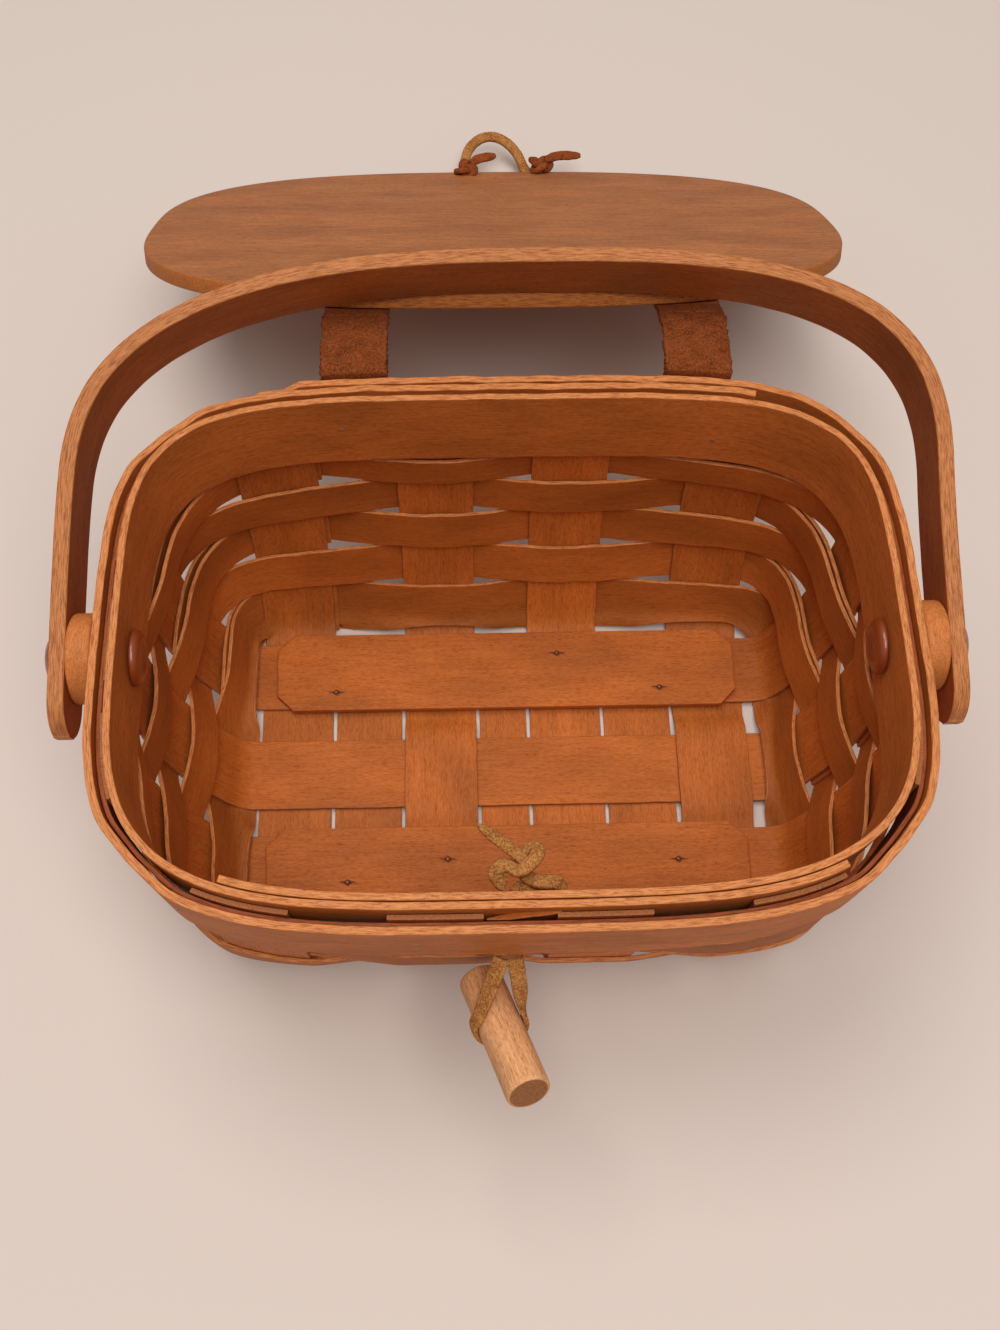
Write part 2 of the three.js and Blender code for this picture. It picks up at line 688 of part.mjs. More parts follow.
// Handle: a bent strip with straight arms and rounded ends. Its bow leans sideways, more the higher up.
function handleGeometry() {
  const half = HANDLE_WIDTH / 2;
  const line = [];
  const tail = [0, 0.06, 0.2, 0.42, 0.7, 1];
  for (const share of tail) {
    line.push({ x: handleHalfSpan, z: -HANDLE_TAIL + share * half, half: roundedHalf(share, half) });
  }
  const arcSteps = 44;
  const power = 2 / HANDLE_SQUARENESS;
  const bow = (angle) => {
    const rise = (handleReach - HANDLE_STRAIGHT) * signedPower(Math.max(0, Math.sin(angle)), power);
    const z = HANDLE_STRAIGHT + rise;
    const lean = HANDLE_SIDEWAYS_LEAN * (z / handleReach) ** HANDLE_LEAN_CURVE;
    return { x: handleHalfSpan * signedPower(Math.cos(angle), power) + lean, z, half };
  };
  const arm = (side) => [0, 0.35, 0.7].map((share) => {
    const z = share * HANDLE_STRAIGHT;
    const lean = HANDLE_SIDEWAYS_LEAN * (z / handleReach) ** HANDLE_LEAN_CURVE;
    return { x: side * handleHalfSpan + lean, z, half };
  });
  line.push(...arm(1));
  for (let i = 0; i <= arcSteps; i += 1) {
    line.push(bow(Math.PI * i / arcSteps));
  }
  line.push(...arm(-1).reverse());
  for (const share of [...tail].reverse()) {
    line.push({ x: -handleHalfSpan, z: -HANDLE_TAIL + share * half, half: roundedHalf(share, half) });
  }
  const grid = line.map((place) => [
    new THREE.Vector3(place.x, -place.half, place.z),
    new THREE.Vector3(place.x, place.half, place.z),
  ]);
  const holes = [-1, 1].map((side) => {
    const centre = new THREE.Vector3(side * handleHalfSpan, 0, 0);
    return barAlong(new THREE.Vector3(1, 0, 0), centre, rivetHoleRadius, 3 * HANDLE_THICKNESS, 16);
  });
  return cutAway(sheetSolid(grid, HANDLE_THICKNESS), holes);
}

function roundedHalf(share, half) {
  const blunt = 0.25;
  return half * Math.max(blunt, Math.sqrt(1 - (1 - share) ** 2));
}

// Wooden disc between the rim and the handle, with the rivet through it
function spacerGeometry(side) {
  const from = rimHalfLength + outerBandOffset + OUTER_BAND_THICKNESS / 2 + RIVET_SEAT_CLEARANCE / 2;
  const to = handleHalfSpan - HANDLE_THICKNESS / 2 - FIT_GAP;
  const profile = [
    new THREE.Vector2(rivetHoleRadius, 0),
    new THREE.Vector2(SPACER_RADIUS - 0.8, 0),
    new THREE.Vector2(SPACER_RADIUS, 0.8),
    new THREE.Vector2(SPACER_RADIUS, to - from - 0.8),
    new THREE.Vector2(SPACER_RADIUS - 0.8, to - from),
    new THREE.Vector2(rivetHoleRadius, to - from),
    new THREE.Vector2(rivetHoleRadius, 0),
  ];
  const geometry = new THREE.LatheGeometry(profile, 24);
  geometry.rotateZ(-side * Math.PI / 2);
  geometry.translate(side * from, 0, pivotHeight);
  return geometry;
}

// Rivet: dished inner head, shank through band, hoop, disc and handle, domed outer head
function rivetGeometry(side) {
  const lean = RIM_LEAN * (RIM_HEIGHT - pivotHeight) / (RIM_HEIGHT - weaveTop);
  const innerSeat = RIM_INNER_HALF_LENGTH - lean - RIVET_SEAT_CLEARANCE - FIT_GAP;
  const outerSeat = handleHalfSpan + HANDLE_THICKNESS / 2 + FIT_GAP;
  const dome = (radius, seat, sign) => [1, 0.86, 0.6, 0.3].map((share) => {
    const height = RIVET_HEAD_HEIGHT * Math.sqrt(1 - share * share);
    return new THREE.Vector2(radius * share, seat + sign * (0.4 + height * 0.8));
  });
  const inner = dome(RIVET_INNER_HEAD_RADIUS, innerSeat, -1).reverse();
  const outer = dome(RIVET_OUTER_HEAD_RADIUS, outerSeat, 1);
  const profile = [
    new THREE.Vector2(0, innerSeat - RIVET_HEAD_HEIGHT * 0.72),
    ...inner,
    new THREE.Vector2(RIVET_INNER_HEAD_RADIUS, innerSeat),
    new THREE.Vector2(RIVET_SHANK_RADIUS, innerSeat),
    new THREE.Vector2(RIVET_SHANK_RADIUS, outerSeat),
    new THREE.Vector2(RIVET_OUTER_HEAD_RADIUS, outerSeat),
    ...outer,
    new THREE.Vector2(0, outerSeat + RIVET_HEAD_HEIGHT),
  ];
  const geometry = new THREE.LatheGeometry(profile, 16);
  geometry.rotateZ(-side * Math.PI / 2);
  geometry.translate(0, 0, pivotHeight);
  return geometry;
}

// Lid in its closed place, measured from the hinge axis
function lidGeometry() {
  const halfDepth = (lidBackY - lidFrontY) / 2;
  const centreY = (lidBackY + lidFrontY) / 2 - hingeY;
  const power = 2 / LID_SQUARENESS;
  const points = [];
  const steps = 72;
  for (let i = 0; i < steps; i += 1) {
    const angle = fullTurn * i / steps;
    const x = (lidHalfLength - LID_EDGE_ROUND) * signedPower(Math.cos(angle), power);
    const y = (halfDepth - LID_EDGE_ROUND) * signedPower(Math.sin(angle), power);
    points.push(new THREE.Vector2(x, y + centreY));
  }
  const shape = new THREE.Shape(points);
  const geometry = new THREE.ExtrudeGeometry(shape, {
    depth: LID_THICKNESS - 2 * LID_EDGE_ROUND,
    bevelEnabled: true,
    bevelThickness: LID_EDGE_ROUND,
    bevelSize: LID_EDGE_ROUND,
    bevelSegments: 1,
  });
  geometry.translate(0, 0, lidUnderside + LID_EDGE_ROUND - hingeZ);
  const holes = [LID_LACE_LEFT_X, LID_LACE_RIGHT_X].map((x) => {
    const centre = new THREE.Vector3(x, lidFrontY + LID_LACE_EDGE - hingeY, lidUnderside - hingeZ);
    return barAlong(new THREE.Vector3(0, 0, 1), centre, LID_LACE_HOLE_RADIUS, 4 * LID_THICKNESS, 12);
  });
  return cutAway(geometry, holes);
}

// Point given in the open lid's own frame, from its closed place to where it lies when open
function openPlace(y, z) {
  const angle = -radians(LID_OPEN_ANGLE);
  const fromHingeY = y - hingeY;
  const fromHingeZ = z - hingeZ;
  return new THREE.Vector2(
    hingeY + fromHingeY * Math.cos(angle) - fromHingeZ * Math.sin(angle),
    hingeZ + fromHingeY * Math.sin(angle) + fromHingeZ * Math.cos(angle),
  );
}

// Suede strap: up the back of the rim, over, and along the outer face of the open lid
function strapGeometry(x) {
  const skin = STRAP_THICKNESS / 2 + FIT_GAP;
  const lidEdge = openPlace(lidBackY, lidTop + skin);
  const lidEnd = openPlace(lidBackY - STRAP_LID_HOLD, lidTop + skin);
  const over = outerBandTop + 0.6;
  const lines = [-1, 0, 1].map((step) => {
    const lineX = x + step * STRAP_WIDTH / 2;
    const phi = phiAtX(lineX, RIM_HEIGHT, 1);
    const layer = lineX > OUTER_LAP_TO_X && lineX < OUTER_LAP_FROM_X ? outerLapOffset : outerBandOffset;
    const standOff = layer + OUTER_BAND_THICKNESS / 2 + skin;
    const low = offWall(outerBandTop - STRAP_DROP, phi, standOff);
    const high = offWall(outerBandTop - 1, phi, standOff);
    const route = [
      [low.y, low.z],
      [high.y, high.z],
      [high.y + 0.5, over - 0.2],
      [high.y + 1.9, over + 0.5],
      [high.y + 6, over + 0.6],
      [lidEdge.x - 5.5, over],
      [lidEdge.x - 2, lidEdge.y + 1.1],
      [lidEdge.x + 0.6, lidEdge.y - 0.45],
      [lidEnd.x, lidEnd.y],
    ];
    return route.map(([y, z]) => new THREE.Vector3(lineX, y, z));
  });
  return sheetSolid(transpose(lines), STRAP_THICKNESS);
}

// Overhand knot drawn as a three-lobed closed strand
function knotGeometry(radius, strandRadius, centre, faceDirection) {
  const geometry = new THREE.TorusKnotGeometry(radius, strandRadius, 30, 5, 2, 3);
  const turn = new THREE.Quaternion().setFromUnitVectors(new THREE.Vector3(0, 0, 1), faceDirection);
  geometry.applyQuaternion(turn);
  geometry.translate(centre.x, centre.y, centre.z);
  return geometry;
}

const knotHalfHeight = KNOT_RADIUS / 2 + KNOT_STRAND_RADIUS;
const lidKnotReach = 1.3 * LID_KNOT_RADIUS + LID_KNOT_STRAND_RADIUS;

// Assembly: base, walls and rim
LONG_UPRIGHT_X.forEach((x, i) => {
  addPiece(basket, `upright_long_${i + 1}`, longUpright(x, i % 2 === 1), woodMaterial(splintWood));
});
[['front', END_STRIP_FRONT_Y], ['middle', 0], ['back', END_STRIP_BACK_Y]].forEach(([name, y]) => {
  const solid = y === 0 ? cutAway(endUpright(y), rimHoles) : endUpright(y);
  addPiece(basket, `upright_end_${name}`, solid, woodMaterial(splintWood));
});
const halfSplint = SPLINT_WIDTH / 2 + FILLER_GAP;
const fillers = ['left', 'middle', 'right'].map((name, i) => {
  return [name, LONG_UPRIGHT_X[i] + halfSplint, LONG_UPRIGHT_X[i + 1] - halfSplint];
});
fillers.forEach(([name, from, to]) => {
  addPiece(basket, `base_filler_${name}`, filler(from, to), woodMaterial(splintWood));
});
boards.forEach((spec) => {
  addPiece(basket, `base_board_${spec.name}`, boardGeometry(spec), woodMaterial(splintWood));
  spec.tacks.forEach((place, i) => {
    const name = `board_tack_${spec.name}_${i + 1}`;
    const tack = addPiece(basket, name, tackGeometry(BOARD_THICKNESS), tackMaterial());
    tack.position.set(place.x, place.y, boardBottom + BOARD_THICKNESS + FIT_GAP / 2);
  });
});
for (let row = 0; row < ROW_COUNT; row += 1) {
  addPiece(basket, `weaver_row_${row + 1}`, wovenRow(row), woodMaterial(splintWood));
}
addPiece(basket, 'rim_hoop_hidden', topHoop(), woodMaterial(splintWood));
addPiece(basket, 'rim_band_inner', innerBand(), woodMaterial(bandWood));
addPiece(basket, 'rim_band_outer', outerBand(), woodMaterial(bandWood));

// Handle on its rivets
[['left', -1], ['right', 1]].forEach(([name, side]) => {
  addPiece(basket, `handle_spacer_${name}`, spacerGeometry(side), woodMaterial(bandWood));
  addPiece(basket, `handle_rivet_${name}`, rivetGeometry(side), rivetMaterial());
});
const handleGroup = new THREE.Group();
handleGroup.position.set(0, 0, pivotHeight);
handleGroup.rotation.x = -radians(HANDLE_BACK_ANGLE);
basket.add(handleGroup);
addPiece(handleGroup, 'handle', handleGeometry(), woodMaterial(handleWood));

// Lid on its straps
const lidGroup = new THREE.Group();
lidGroup.position.set(0, hingeY, hingeZ);
lidGroup.rotation.x = -radians(LID_OPEN_ANGLE);
basket.add(lidGroup);
addPiece(lidGroup, 'lid', lidGeometry(), woodMaterial(lidWood));
addPiece(basket, 'strap_left', strapGeometry(LEFT_STRAP_X), suedeMaterial());
addPiece(basket, 'strap_right', strapGeometry(RIGHT_STRAP_X), suedeMaterial());

// Lace loop of the lid, laid on the floor beyond the open lid's front edge
const laceHoleY = lidFrontY + LID_LACE_EDGE;
const laceExit = openPlace(laceHoleY, lidTop);
const lidFrontEdge = openPlace(lidFrontY, lidTop);
const laceFloorZ = LID_LACE_THICKNESS / 2 + FIT_GAP;
const lidLaceMiddle = (LID_LACE_LEFT_X + LID_LACE_RIGHT_X) / 2;
const loopHalf = (LID_LACE_RIGHT_X - LID_LACE_LEFT_X) / 2;

function lidLoopGeometry() {
  const route = new THREE.CatmullRomCurve3([
    new THREE.Vector3(LID_LACE_LEFT_X, laceExit.x - 0.5, laceFloorZ),
    new THREE.Vector3(LID_LACE_LEFT_X + 0.5, lidFrontEdge.x + 1, laceFloorZ),
    new THREE.Vector3(lidLaceMiddle - 0.62 * loopHalf, lidFrontEdge.x + 0.78 * LID_LOOP_REACH, laceFloorZ),
    new THREE.Vector3(lidLaceMiddle, lidFrontEdge.x + LID_LOOP_REACH, laceFloorZ),
    new THREE.Vector3(lidLaceMiddle + 0.62 * loopHalf, lidFrontEdge.x + 0.7 * LID_LOOP_REACH, laceFloorZ),
    new THREE.Vector3(LID_LACE_RIGHT_X - 0.5, lidFrontEdge.x + 1, laceFloorZ),
    new THREE.Vector3(LID_LACE_RIGHT_X, laceExit.x - 0.5, laceFloorZ),
  ]);
  const path = route.getPoints(36);
  const up = new THREE.Vector3(0, 0, 1);
  const widthAt = (i) => {
    const tangent = path[Math.min(path.length - 1, i + 1)].clone().sub(path[Math.max(0, i - 1)]);
    return tangent.cross(up).normalize();
  };
  return stripSolid(path, widthAt, LID_LACE_WIDTH, LID_LACE_THICKNESS);
}

const lidFloorFrame = new THREE.Group();
lidFloorFrame.rotation.x = radians(LID_OPEN_ANGLE);
lidGroup.add(lidFloorFrame);
const lidLace = addPiece(lidFloorFrame, 'lid_lace_loop', lidLoopGeometry(), laceMaterial());
lidLace.position.set(0, -hingeY, -hingeZ);
[['left', LID_LACE_LEFT_X], ['right', LID_LACE_RIGHT_X]].forEach(([name, x]) => {
  const place = new THREE.Vector3(x, laceHoleY - hingeY, lidUnderside - lidKnotReach - FIT_GAP - hingeZ);
  const geometry = knotGeometry(LID_KNOT_RADIUS, LID_KNOT_STRAND_RADIUS, place, new THREE.Vector3(0, 1, 0));
  addPiece(lidGroup, `lid_lace_knot_${name}`, geometry, laceMaterial());
});

// Toggle: the peg hangs in a lace sling that comes out under the outer band
const slotZ = (weaveTop - ROW_GAP / 2 + bandBottom) / 2 - 0.1;
const frontSkin = offWall(bandBottom, phiAtX(LACE_LEFT_X, RIM_HEIGHT, -1), outerBandOffset);
const laceOut = new THREE.Vector3(
  (LACE_LEFT_X + LACE_RIGHT_X) / 2,
  frontSkin.y - OUTER_BAND_THICKNESS / 2 - 2 * FIT_GAP,
  slotZ,
);

function pegGeometry() {
  const end = PEG_LENGTH / 2;
  const profile = [
    new THREE.Vector2(0, -end),
    new THREE.Vector2(PEG_RADIUS - PEG_ROUND, -end),
    new THREE.Vector2(PEG_RADIUS, -end + PEG_ROUND),
    new THREE.Vector2(PEG_RADIUS, end - PEG_ROUND),
    new THREE.Vector2(PEG_RADIUS - PEG_ROUND, end),
    new THREE.Vector2(0, end),
  ];
  return new THREE.LatheGeometry(profile, 24);
}

function slingGeometry() {
  const side = new THREE.Vector3(0, 0, 1).cross(PEG_DIRECTION).normalize();
  const up = PEG_DIRECTION.clone().cross(side).normalize();
  const reach = PEG_RADIUS + LACE_THICKNESS / 2 + FIT_GAP;
  const towardOut = laceOut.clone().sub(PEG_CENTRE);
  const lift = towardOut.dot(up);
  const shift = towardOut.dot(PEG_DIRECTION);
  const half = (LACE_RIGHT_X - LACE_LEFT_X) / 2;
  const turn = Math.acos(THREE.MathUtils.clamp((reach - half) / lift, -1, 1)) * 0.35;
  const places = [{ across: -half, rise: lift, along: shift }];
  const arcSteps = 14;
  for (let i = 0; i <= arcSteps; i += 1) {
    const angle = Math.PI - turn + (Math.PI + 2 * turn) * i / arcSteps;
    places.push({ across: reach * Math.cos(angle), rise: reach * Math.sin(angle), along: 0 });
  }
  places.push({ across: half, rise: lift, along: shift });
  const path = places.map(({ across, rise, along }) => PEG_CENTRE.clone()
    .addScaledVector(side, across)
    .addScaledVector(up, rise)
    .addScaledVector(PEG_DIRECTION, along));
  return stripSolid(path, PEG_DIRECTION, LACE_WIDTH, LACE_THICKNESS);
}

const peg = addPiece(basket, 'toggle_peg', pegGeometry(), woodMaterial(pegWood));
peg.position.copy(PEG_CENTRE);
peg.quaternion.setFromUnitVectors(new THREE.Vector3(0, 1, 0), PEG_DIRECTION);
addPiece(basket, 'toggle_lace_sling', slingGeometry(), laceMaterial());

// Lace through the slot under the rim, its knot and its loose tail inside the basket
const knotInside = new THREE.Vector3(KNOT_INSIDE_X, KNOT_INSIDE_Y, slotZ + 0.4);
[['left', LACE_LEFT_X], ['right', LACE_RIGHT_X]].forEach(([name, x]) => {
  const path = [
    new THREE.Vector3(x, laceOut.y + 2 * FIT_GAP, slotZ),
    new THREE.Vector3(x, knotInside.y - knotHalfHeight - FIT_GAP, slotZ),
  ];
  const geometry = stripSolid(path, new THREE.Vector3(1, 0, 0), LACE_WIDTH, LACE_THICKNESS);
  addPiece(basket, `toggle_lace_${name}`, geometry, laceMaterial());
});
addPiece(
  basket,
  'toggle_lace_knot',
  knotGeometry(KNOT_RADIUS, KNOT_STRAND_RADIUS, knotInside, new THREE.Vector3(0, 1, 0)),
  laceMaterial(),
);
const tailStart = knotInside.clone().add(new THREE.Vector3(-1, knotHalfHeight + FIT_GAP, 0.5));
const tailPath = [0, 0.35, 0.7, 1].map((share) => new THREE.Vector3(
  tailStart.x - share * TAIL_LENGTH * 0.55,
  tailStart.y + share * TAIL_LENGTH * 0.75,
  tailStart.z + TAIL_LENGTH * 0.3 * share * share,
));
addPiece(
  basket,
  'toggle_lace_tail',
  stripSolid(tailPath, new THREE.Vector3(0, 0, 1), LACE_WIDTH, LACE_THICKNESS),
  laceMaterial(),
);

export default basket;
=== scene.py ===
import math

import bpy
import numpy as np
from mathutils import Matrix, Vector


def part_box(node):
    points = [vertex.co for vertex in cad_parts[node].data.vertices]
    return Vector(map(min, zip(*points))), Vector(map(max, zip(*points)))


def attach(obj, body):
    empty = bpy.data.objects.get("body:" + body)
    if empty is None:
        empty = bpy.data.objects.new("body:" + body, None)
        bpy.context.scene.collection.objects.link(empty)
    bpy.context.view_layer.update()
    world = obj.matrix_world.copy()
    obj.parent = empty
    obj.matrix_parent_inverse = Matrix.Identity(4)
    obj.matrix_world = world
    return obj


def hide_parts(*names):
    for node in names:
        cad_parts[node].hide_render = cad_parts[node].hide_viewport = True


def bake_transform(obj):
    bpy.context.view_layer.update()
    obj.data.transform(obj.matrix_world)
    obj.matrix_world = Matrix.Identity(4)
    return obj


bl_info = {
    "name": "Lidded splint basket",
    "version": (1, 0, 0),
    "blender": (4, 5, 0),
    "location": "View3D > Sidebar > Basket",
    "description": "Small woven splint basket with a swing handle, a lid on suede straps and a peg closure",
    "category": "Add Mesh",
}

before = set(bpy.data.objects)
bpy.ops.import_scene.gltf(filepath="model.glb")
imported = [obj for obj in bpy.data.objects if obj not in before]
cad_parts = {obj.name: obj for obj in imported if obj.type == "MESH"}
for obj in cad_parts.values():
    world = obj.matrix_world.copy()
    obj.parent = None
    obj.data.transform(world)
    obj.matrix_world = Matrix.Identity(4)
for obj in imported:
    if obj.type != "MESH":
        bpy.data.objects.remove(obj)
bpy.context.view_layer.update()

MM = 0.001
FULL_TURN = 2 * math.pi

# Sizes of the frame, in millimetres
SPLINT_THICKNESS = 1.0
SPLINT_WIDTH = 19.05
FIT_GAP = 0.25
RIM_HEIGHT = 89.0
RIM_INNER_HALF_LENGTH = 83.2
RIM_INNER_HALF_WIDTH = 57.8
RIM_SQUARE_BACK = 4.4
RIM_SQUARE_FRONT = 3.8
RIM_LEAN = 1.2
INNER_BAND = 1.6
OUTER_BAND = 1.75
BAND_BOTTOM = RIM_HEIGHT - 22.8
OUTER_BAND_TOP = RIM_HEIGHT - 2.0
WEAVE_TOP = BAND_BOTTOM - 1.8
UPRIGHT_TOP = RIM_HEIGHT - 3.2
CORNER_TUCK = 1.0
CORNER_ROOM = 1.4
RIM_STEP = 1.8
INNER_LAP_X = (-60, 66)
OUTER_LAP_X = (58, -61)
HOOP_TOP = RIM_HEIGHT - 4.5
HOOP_HEIGHT = 13.5
BASE_HALF_LENGTH = 70.75
BASE_HALF_WIDTH = 44.5
BASE_SHIFT = 1.65
BASE_SQUARE = 10.0
BASE_BEND_HEIGHT = 6.5
BASE_BEND_RUN = 4.6
FOOT_BEND_RADIUS = 5.1
WALL_CURVE = 2.3
LONG_UPRIGHT_X = (-55.1, -16.6, 17.0, 55.9)
END_STRIP_Y = {"front": -26.5, "middle": 0.0, "back": 28.5}
UPRIGHT_ROOM = 1.0
BOARD_PLACES = {"back": (1.5, 28.75), "front": (0.5, -27.0)}
BOARD_HALF_LENGTH = 62.5
BOARD_HALF_WIDTH = 11.25
BOARD_CORNER = 4.5
BOARD_THICKNESS = 1.8
ROW_COUNT = 5
ROW_START = 2.4
ROW_PITCH = 12.95
ROW_GAP = 0.84
WEAVE_CLEAR = 1.05
FLAT_PAST_EDGE = 0.6
WEAVER_STEP = 1.2
WEAVER_THICKNESS = 1.0
WEAVER_LAP_LAYER = 1.5
PIVOT_HEIGHT = 76.0
HANDLE_HALF_SPAN = 96.9
HANDLE_REACH = 90.35
HANDLE_STRAIGHT = 37.0
HANDLE_SQUARE = 2.75
HANDLE_LEAN = 8.6
HANDLE_LEAN_CURVE = 3.2
HANDLE_THICKNESS = 3.6
HANDLE_WIDTH = 16.2
HANDLE_TAIL = 17.5
HANDLE_BACK_ANGLE = 76.3
LID_HALF_LENGTH = 94.5
LID_HALF_DEPTH = 71.0
LID_THICKNESS = 4.0
LID_SQUARE = 2.75
LID_UNDERSIDE = RIM_HEIGHT + 0.5
HINGE = np.array([0.0, 79.8, 92.0])
LID_OPEN_ANGLE = 215.5
STRAP_WIDTH = 15.4
STRAP_THICKNESS = 1.8
STRAP_X = {"left": -34.5, "right": 45.5}
STRAP_ON_RIM = 19.0
STRAP_ON_LID = 21.0
LACE_SIDES = 16
LACE_UNEVEN = 0.05
PEG_PLACE = np.array([-3.1, -79.0, 55.5])
PEG_AXIS = np.array([0.3, -0.85, 0.43])
PEG_RADIUS = 4.75
PEG_HALF_LENGTH = 15.5

LAYER = SPLINT_THICKNESS + FIT_GAP
RIM_MID = INNER_BAND + FIT_GAP + SPLINT_THICKNESS / 2
RIM_HALF_LENGTH = RIM_INNER_HALF_LENGTH + RIM_MID
RIM_HALF_BACK = RIM_INNER_HALF_WIDTH + RIM_MID
LAP_STEP = INNER_BAND + FIT_GAP
RIM_HALF_FRONT = RIM_HALF_BACK + LAP_STEP
LOW_Z = SPLINT_THICKNESS / 2
STRIP_Z = LOW_Z + LAYER
RAISED_Z = STRIP_Z + LAYER
BOARD_BOTTOM = STRIP_Z + SPLINT_THICKNESS / 2 + FIT_GAP
INNER_BAND_OFFSET = -(SPLINT_THICKNESS + INNER_BAND) / 2 - FIT_GAP
HOOP_OFFSET = (SPLINT_THICKNESS + WEAVER_THICKNESS) / 2 + FIT_GAP
OUTER_BAND_OFFSET = HOOP_OFFSET + (WEAVER_THICKNESS + OUTER_BAND) / 2 + FIT_GAP
OUTER_LAP_OFFSET = OUTER_BAND_OFFSET + OUTER_BAND + 0.45
LEVELS = [ROW_START + row * ROW_PITCH for row in range(ROW_COUNT)] + [WEAVE_TOP, RIM_HEIGHT]

# The camera's place in metres, and its tilt down, swing and roll in radians
CAMERA_PLACE = (-0.010191, -0.137558, 0.36651)
CAMERA_TURNS = (1.1366823, 0.0590, 0.0370)


def ease(share):
    """Half a cosine wave from 0 to 1."""
    return (1 - np.cos(np.pi * np.clip(share, 0, 1))) / 2


def signed_power(value, power):
    """Power of the size of a value, with its sign kept."""
    return np.sign(value) * np.abs(value) ** power


def ripple(along, seed, lengths=(31.0, 17.0, 9.3)):
    """Sum of three sine waves of given wavelengths, each with its own phase, between -1 and 1."""
    phases = np.random.RandomState(seed).uniform(0, FULL_TURN, len(lengths))
    return sum(np.sin(FULL_TURN * along / w + p) for w, p in zip(lengths, phases)) / len(lengths)


# The wall of the basket
def outline_at(z):
    """Plan of the wall at a height: middle, half length, and half width and squareness of back and front."""
    down = np.clip((WEAVE_TOP - z) / (WEAVE_TOP - ROW_START), 0, 1) ** WALL_CURVE
    lean = RIM_LEAN * np.minimum(1, (RIM_HEIGHT - z) / (RIM_HEIGHT - WEAVE_TOP))

    def flare(rim, base):
        return rim - lean - (rim - RIM_LEAN - base) * down

    def square(rim):
        return rim + (BASE_SQUARE - rim) * down

    back = flare(RIM_HALF_BACK, BASE_HALF_WIDTH), square(RIM_SQUARE_BACK)
    front = flare(RIM_HALF_FRONT, BASE_HALF_WIDTH), square(RIM_SQUARE_FRONT)
    return BASE_SHIFT * down, flare(RIM_HALF_LENGTH, BASE_HALF_LENGTH), back, front


def wall_point(z, phi):
    """Squared ellipse: x is the middle plus half length times cosine, y half width times sine, both to 2/n."""
    z, phi = np.broadcast_arrays(np.asarray(z, float), np.asarray(phi, float))
    middle, half_length, back, front = outline_at(z)
    sine = np.sin(phi)
    half_width = np.where(sine < 0, front[0], back[0])
    power = 2 / np.where(sine < 0, front[1], back[1])
    x = middle + half_length * signed_power(np.cos(phi), power)
    return np.stack([x, half_width * signed_power(sine, power), z], -1)


def unit(vectors):
    """Vectors scaled to length one."""
    return vectors / np.maximum(np.linalg.norm(vectors, axis=-1, keepdims=True), 1e-9)


def distances(points):
    """Running distance along a line of points, from zero."""
    return np.concatenate([[0], np.cumsum(np.linalg.norm(np.diff(points, axis=0), axis=1))])


def square_to(axis):
    """Two directions at right angles to an axis and to each other."""
    helper = np.array([0.0, 0.0, 1.0]) if abs(axis[2]) < 0.9 else np.array([1.0, 0.0, 0.0])
    side = unit(np.cross(helper, axis))
    return side, np.cross(axis, side)


def off_wall(z, phi, offset):
    """Point of the wall moved along its outward normal, which is the cross product of two short chords."""
    along = wall_point(z, phi + 0.004) - wall_point(z, phi - 0.004)
    up = wall_point(np.asarray(z) + 0.5, phi) - wall_point(np.asarray(z) - 0.5, phi)
    return wall_point(z, phi) + unit(np.cross(along, up)) * np.asarray(offset)[..., None]


def phi_at_x(x, z, side):
    """Angle at which the wall crosses an X, at the front or the back."""
    middle, half_length, back, front = outline_at(z)
    half = front if side < 0 else back
    angle = math.acos(signed_power((x - middle) / half_length, half[1] / 2))
    return angle if side > 0 else FULL_TURN - angle


def phi_at_y(y, z, side):
    """Angle at which the wall crosses a Y, at the left or the right end."""
    _, _, back, front = outline_at(z)
    half = front if y < 0 else back
    angle = math.asin(signed_power(y / half[0], half[1] / 2))
    return angle if side > 0 else math.pi - angle


def y_on_wall(x, z, side):
    """Y of the wall at an X: half width times (1 - share to n) to 1/n."""
    middle, half_length, back, front = outline_at(z)
    half = front if side < 0 else back
    share = np.minimum(1, np.abs(x - middle) / half_length)
    return side * half[0] * (1 - share ** half[1]) ** (1 / half[1])


def x_on_wall(y, z, side):
    """X of the wall at a Y, by the same formula."""
    middle, half_length, back, front = outline_at(z)
    half_width = np.where(y < 0, front[0], back[0])
    n = np.where(y < 0, front[1], back[1])
    share = np.minimum(1, np.abs(y) / half_width)
    return middle + side * half_length * (1 - share ** n) ** (1 / n)


def upright_list():
    """Uprights in the order met when going round from the right end: kind, place and side."""
    back, front = END_STRIP_Y["back"], END_STRIP_Y["front"]
    found = [("y", 0.0, 1), ("y", back, 1)]
    found += [("x", x, 1) for x in reversed(LONG_UPRIGHT_X)]
    found += [("y", back, -1), ("y", 0.0, -1), ("y", front, -1)]
    found += [("x", x, -1) for x in LONG_UPRIGHT_X]
    return found + [("y", front, 1)]


UPRIGHTS = upright_list()


def upright_phi(upright, step, z):
    """Angle of a place across an upright, from -1 to 1 in the direction of travel."""
    kind, at, side = upright
    reach = step * (SPLINT_WIDTH / 2 + CORNER_ROOM)
    if kind == "x":
        return phi_at_x(at - side * reach, z, side)
    return phi_at_y(at + side * reach, z, side)


def after(phi, previous):
    """The same angle, raised by whole turns until it isn't before the previous one."""
    return phi + FULL_TURN * max(0, math.ceil((previous - phi) / FULL_TURN - 1e-9))


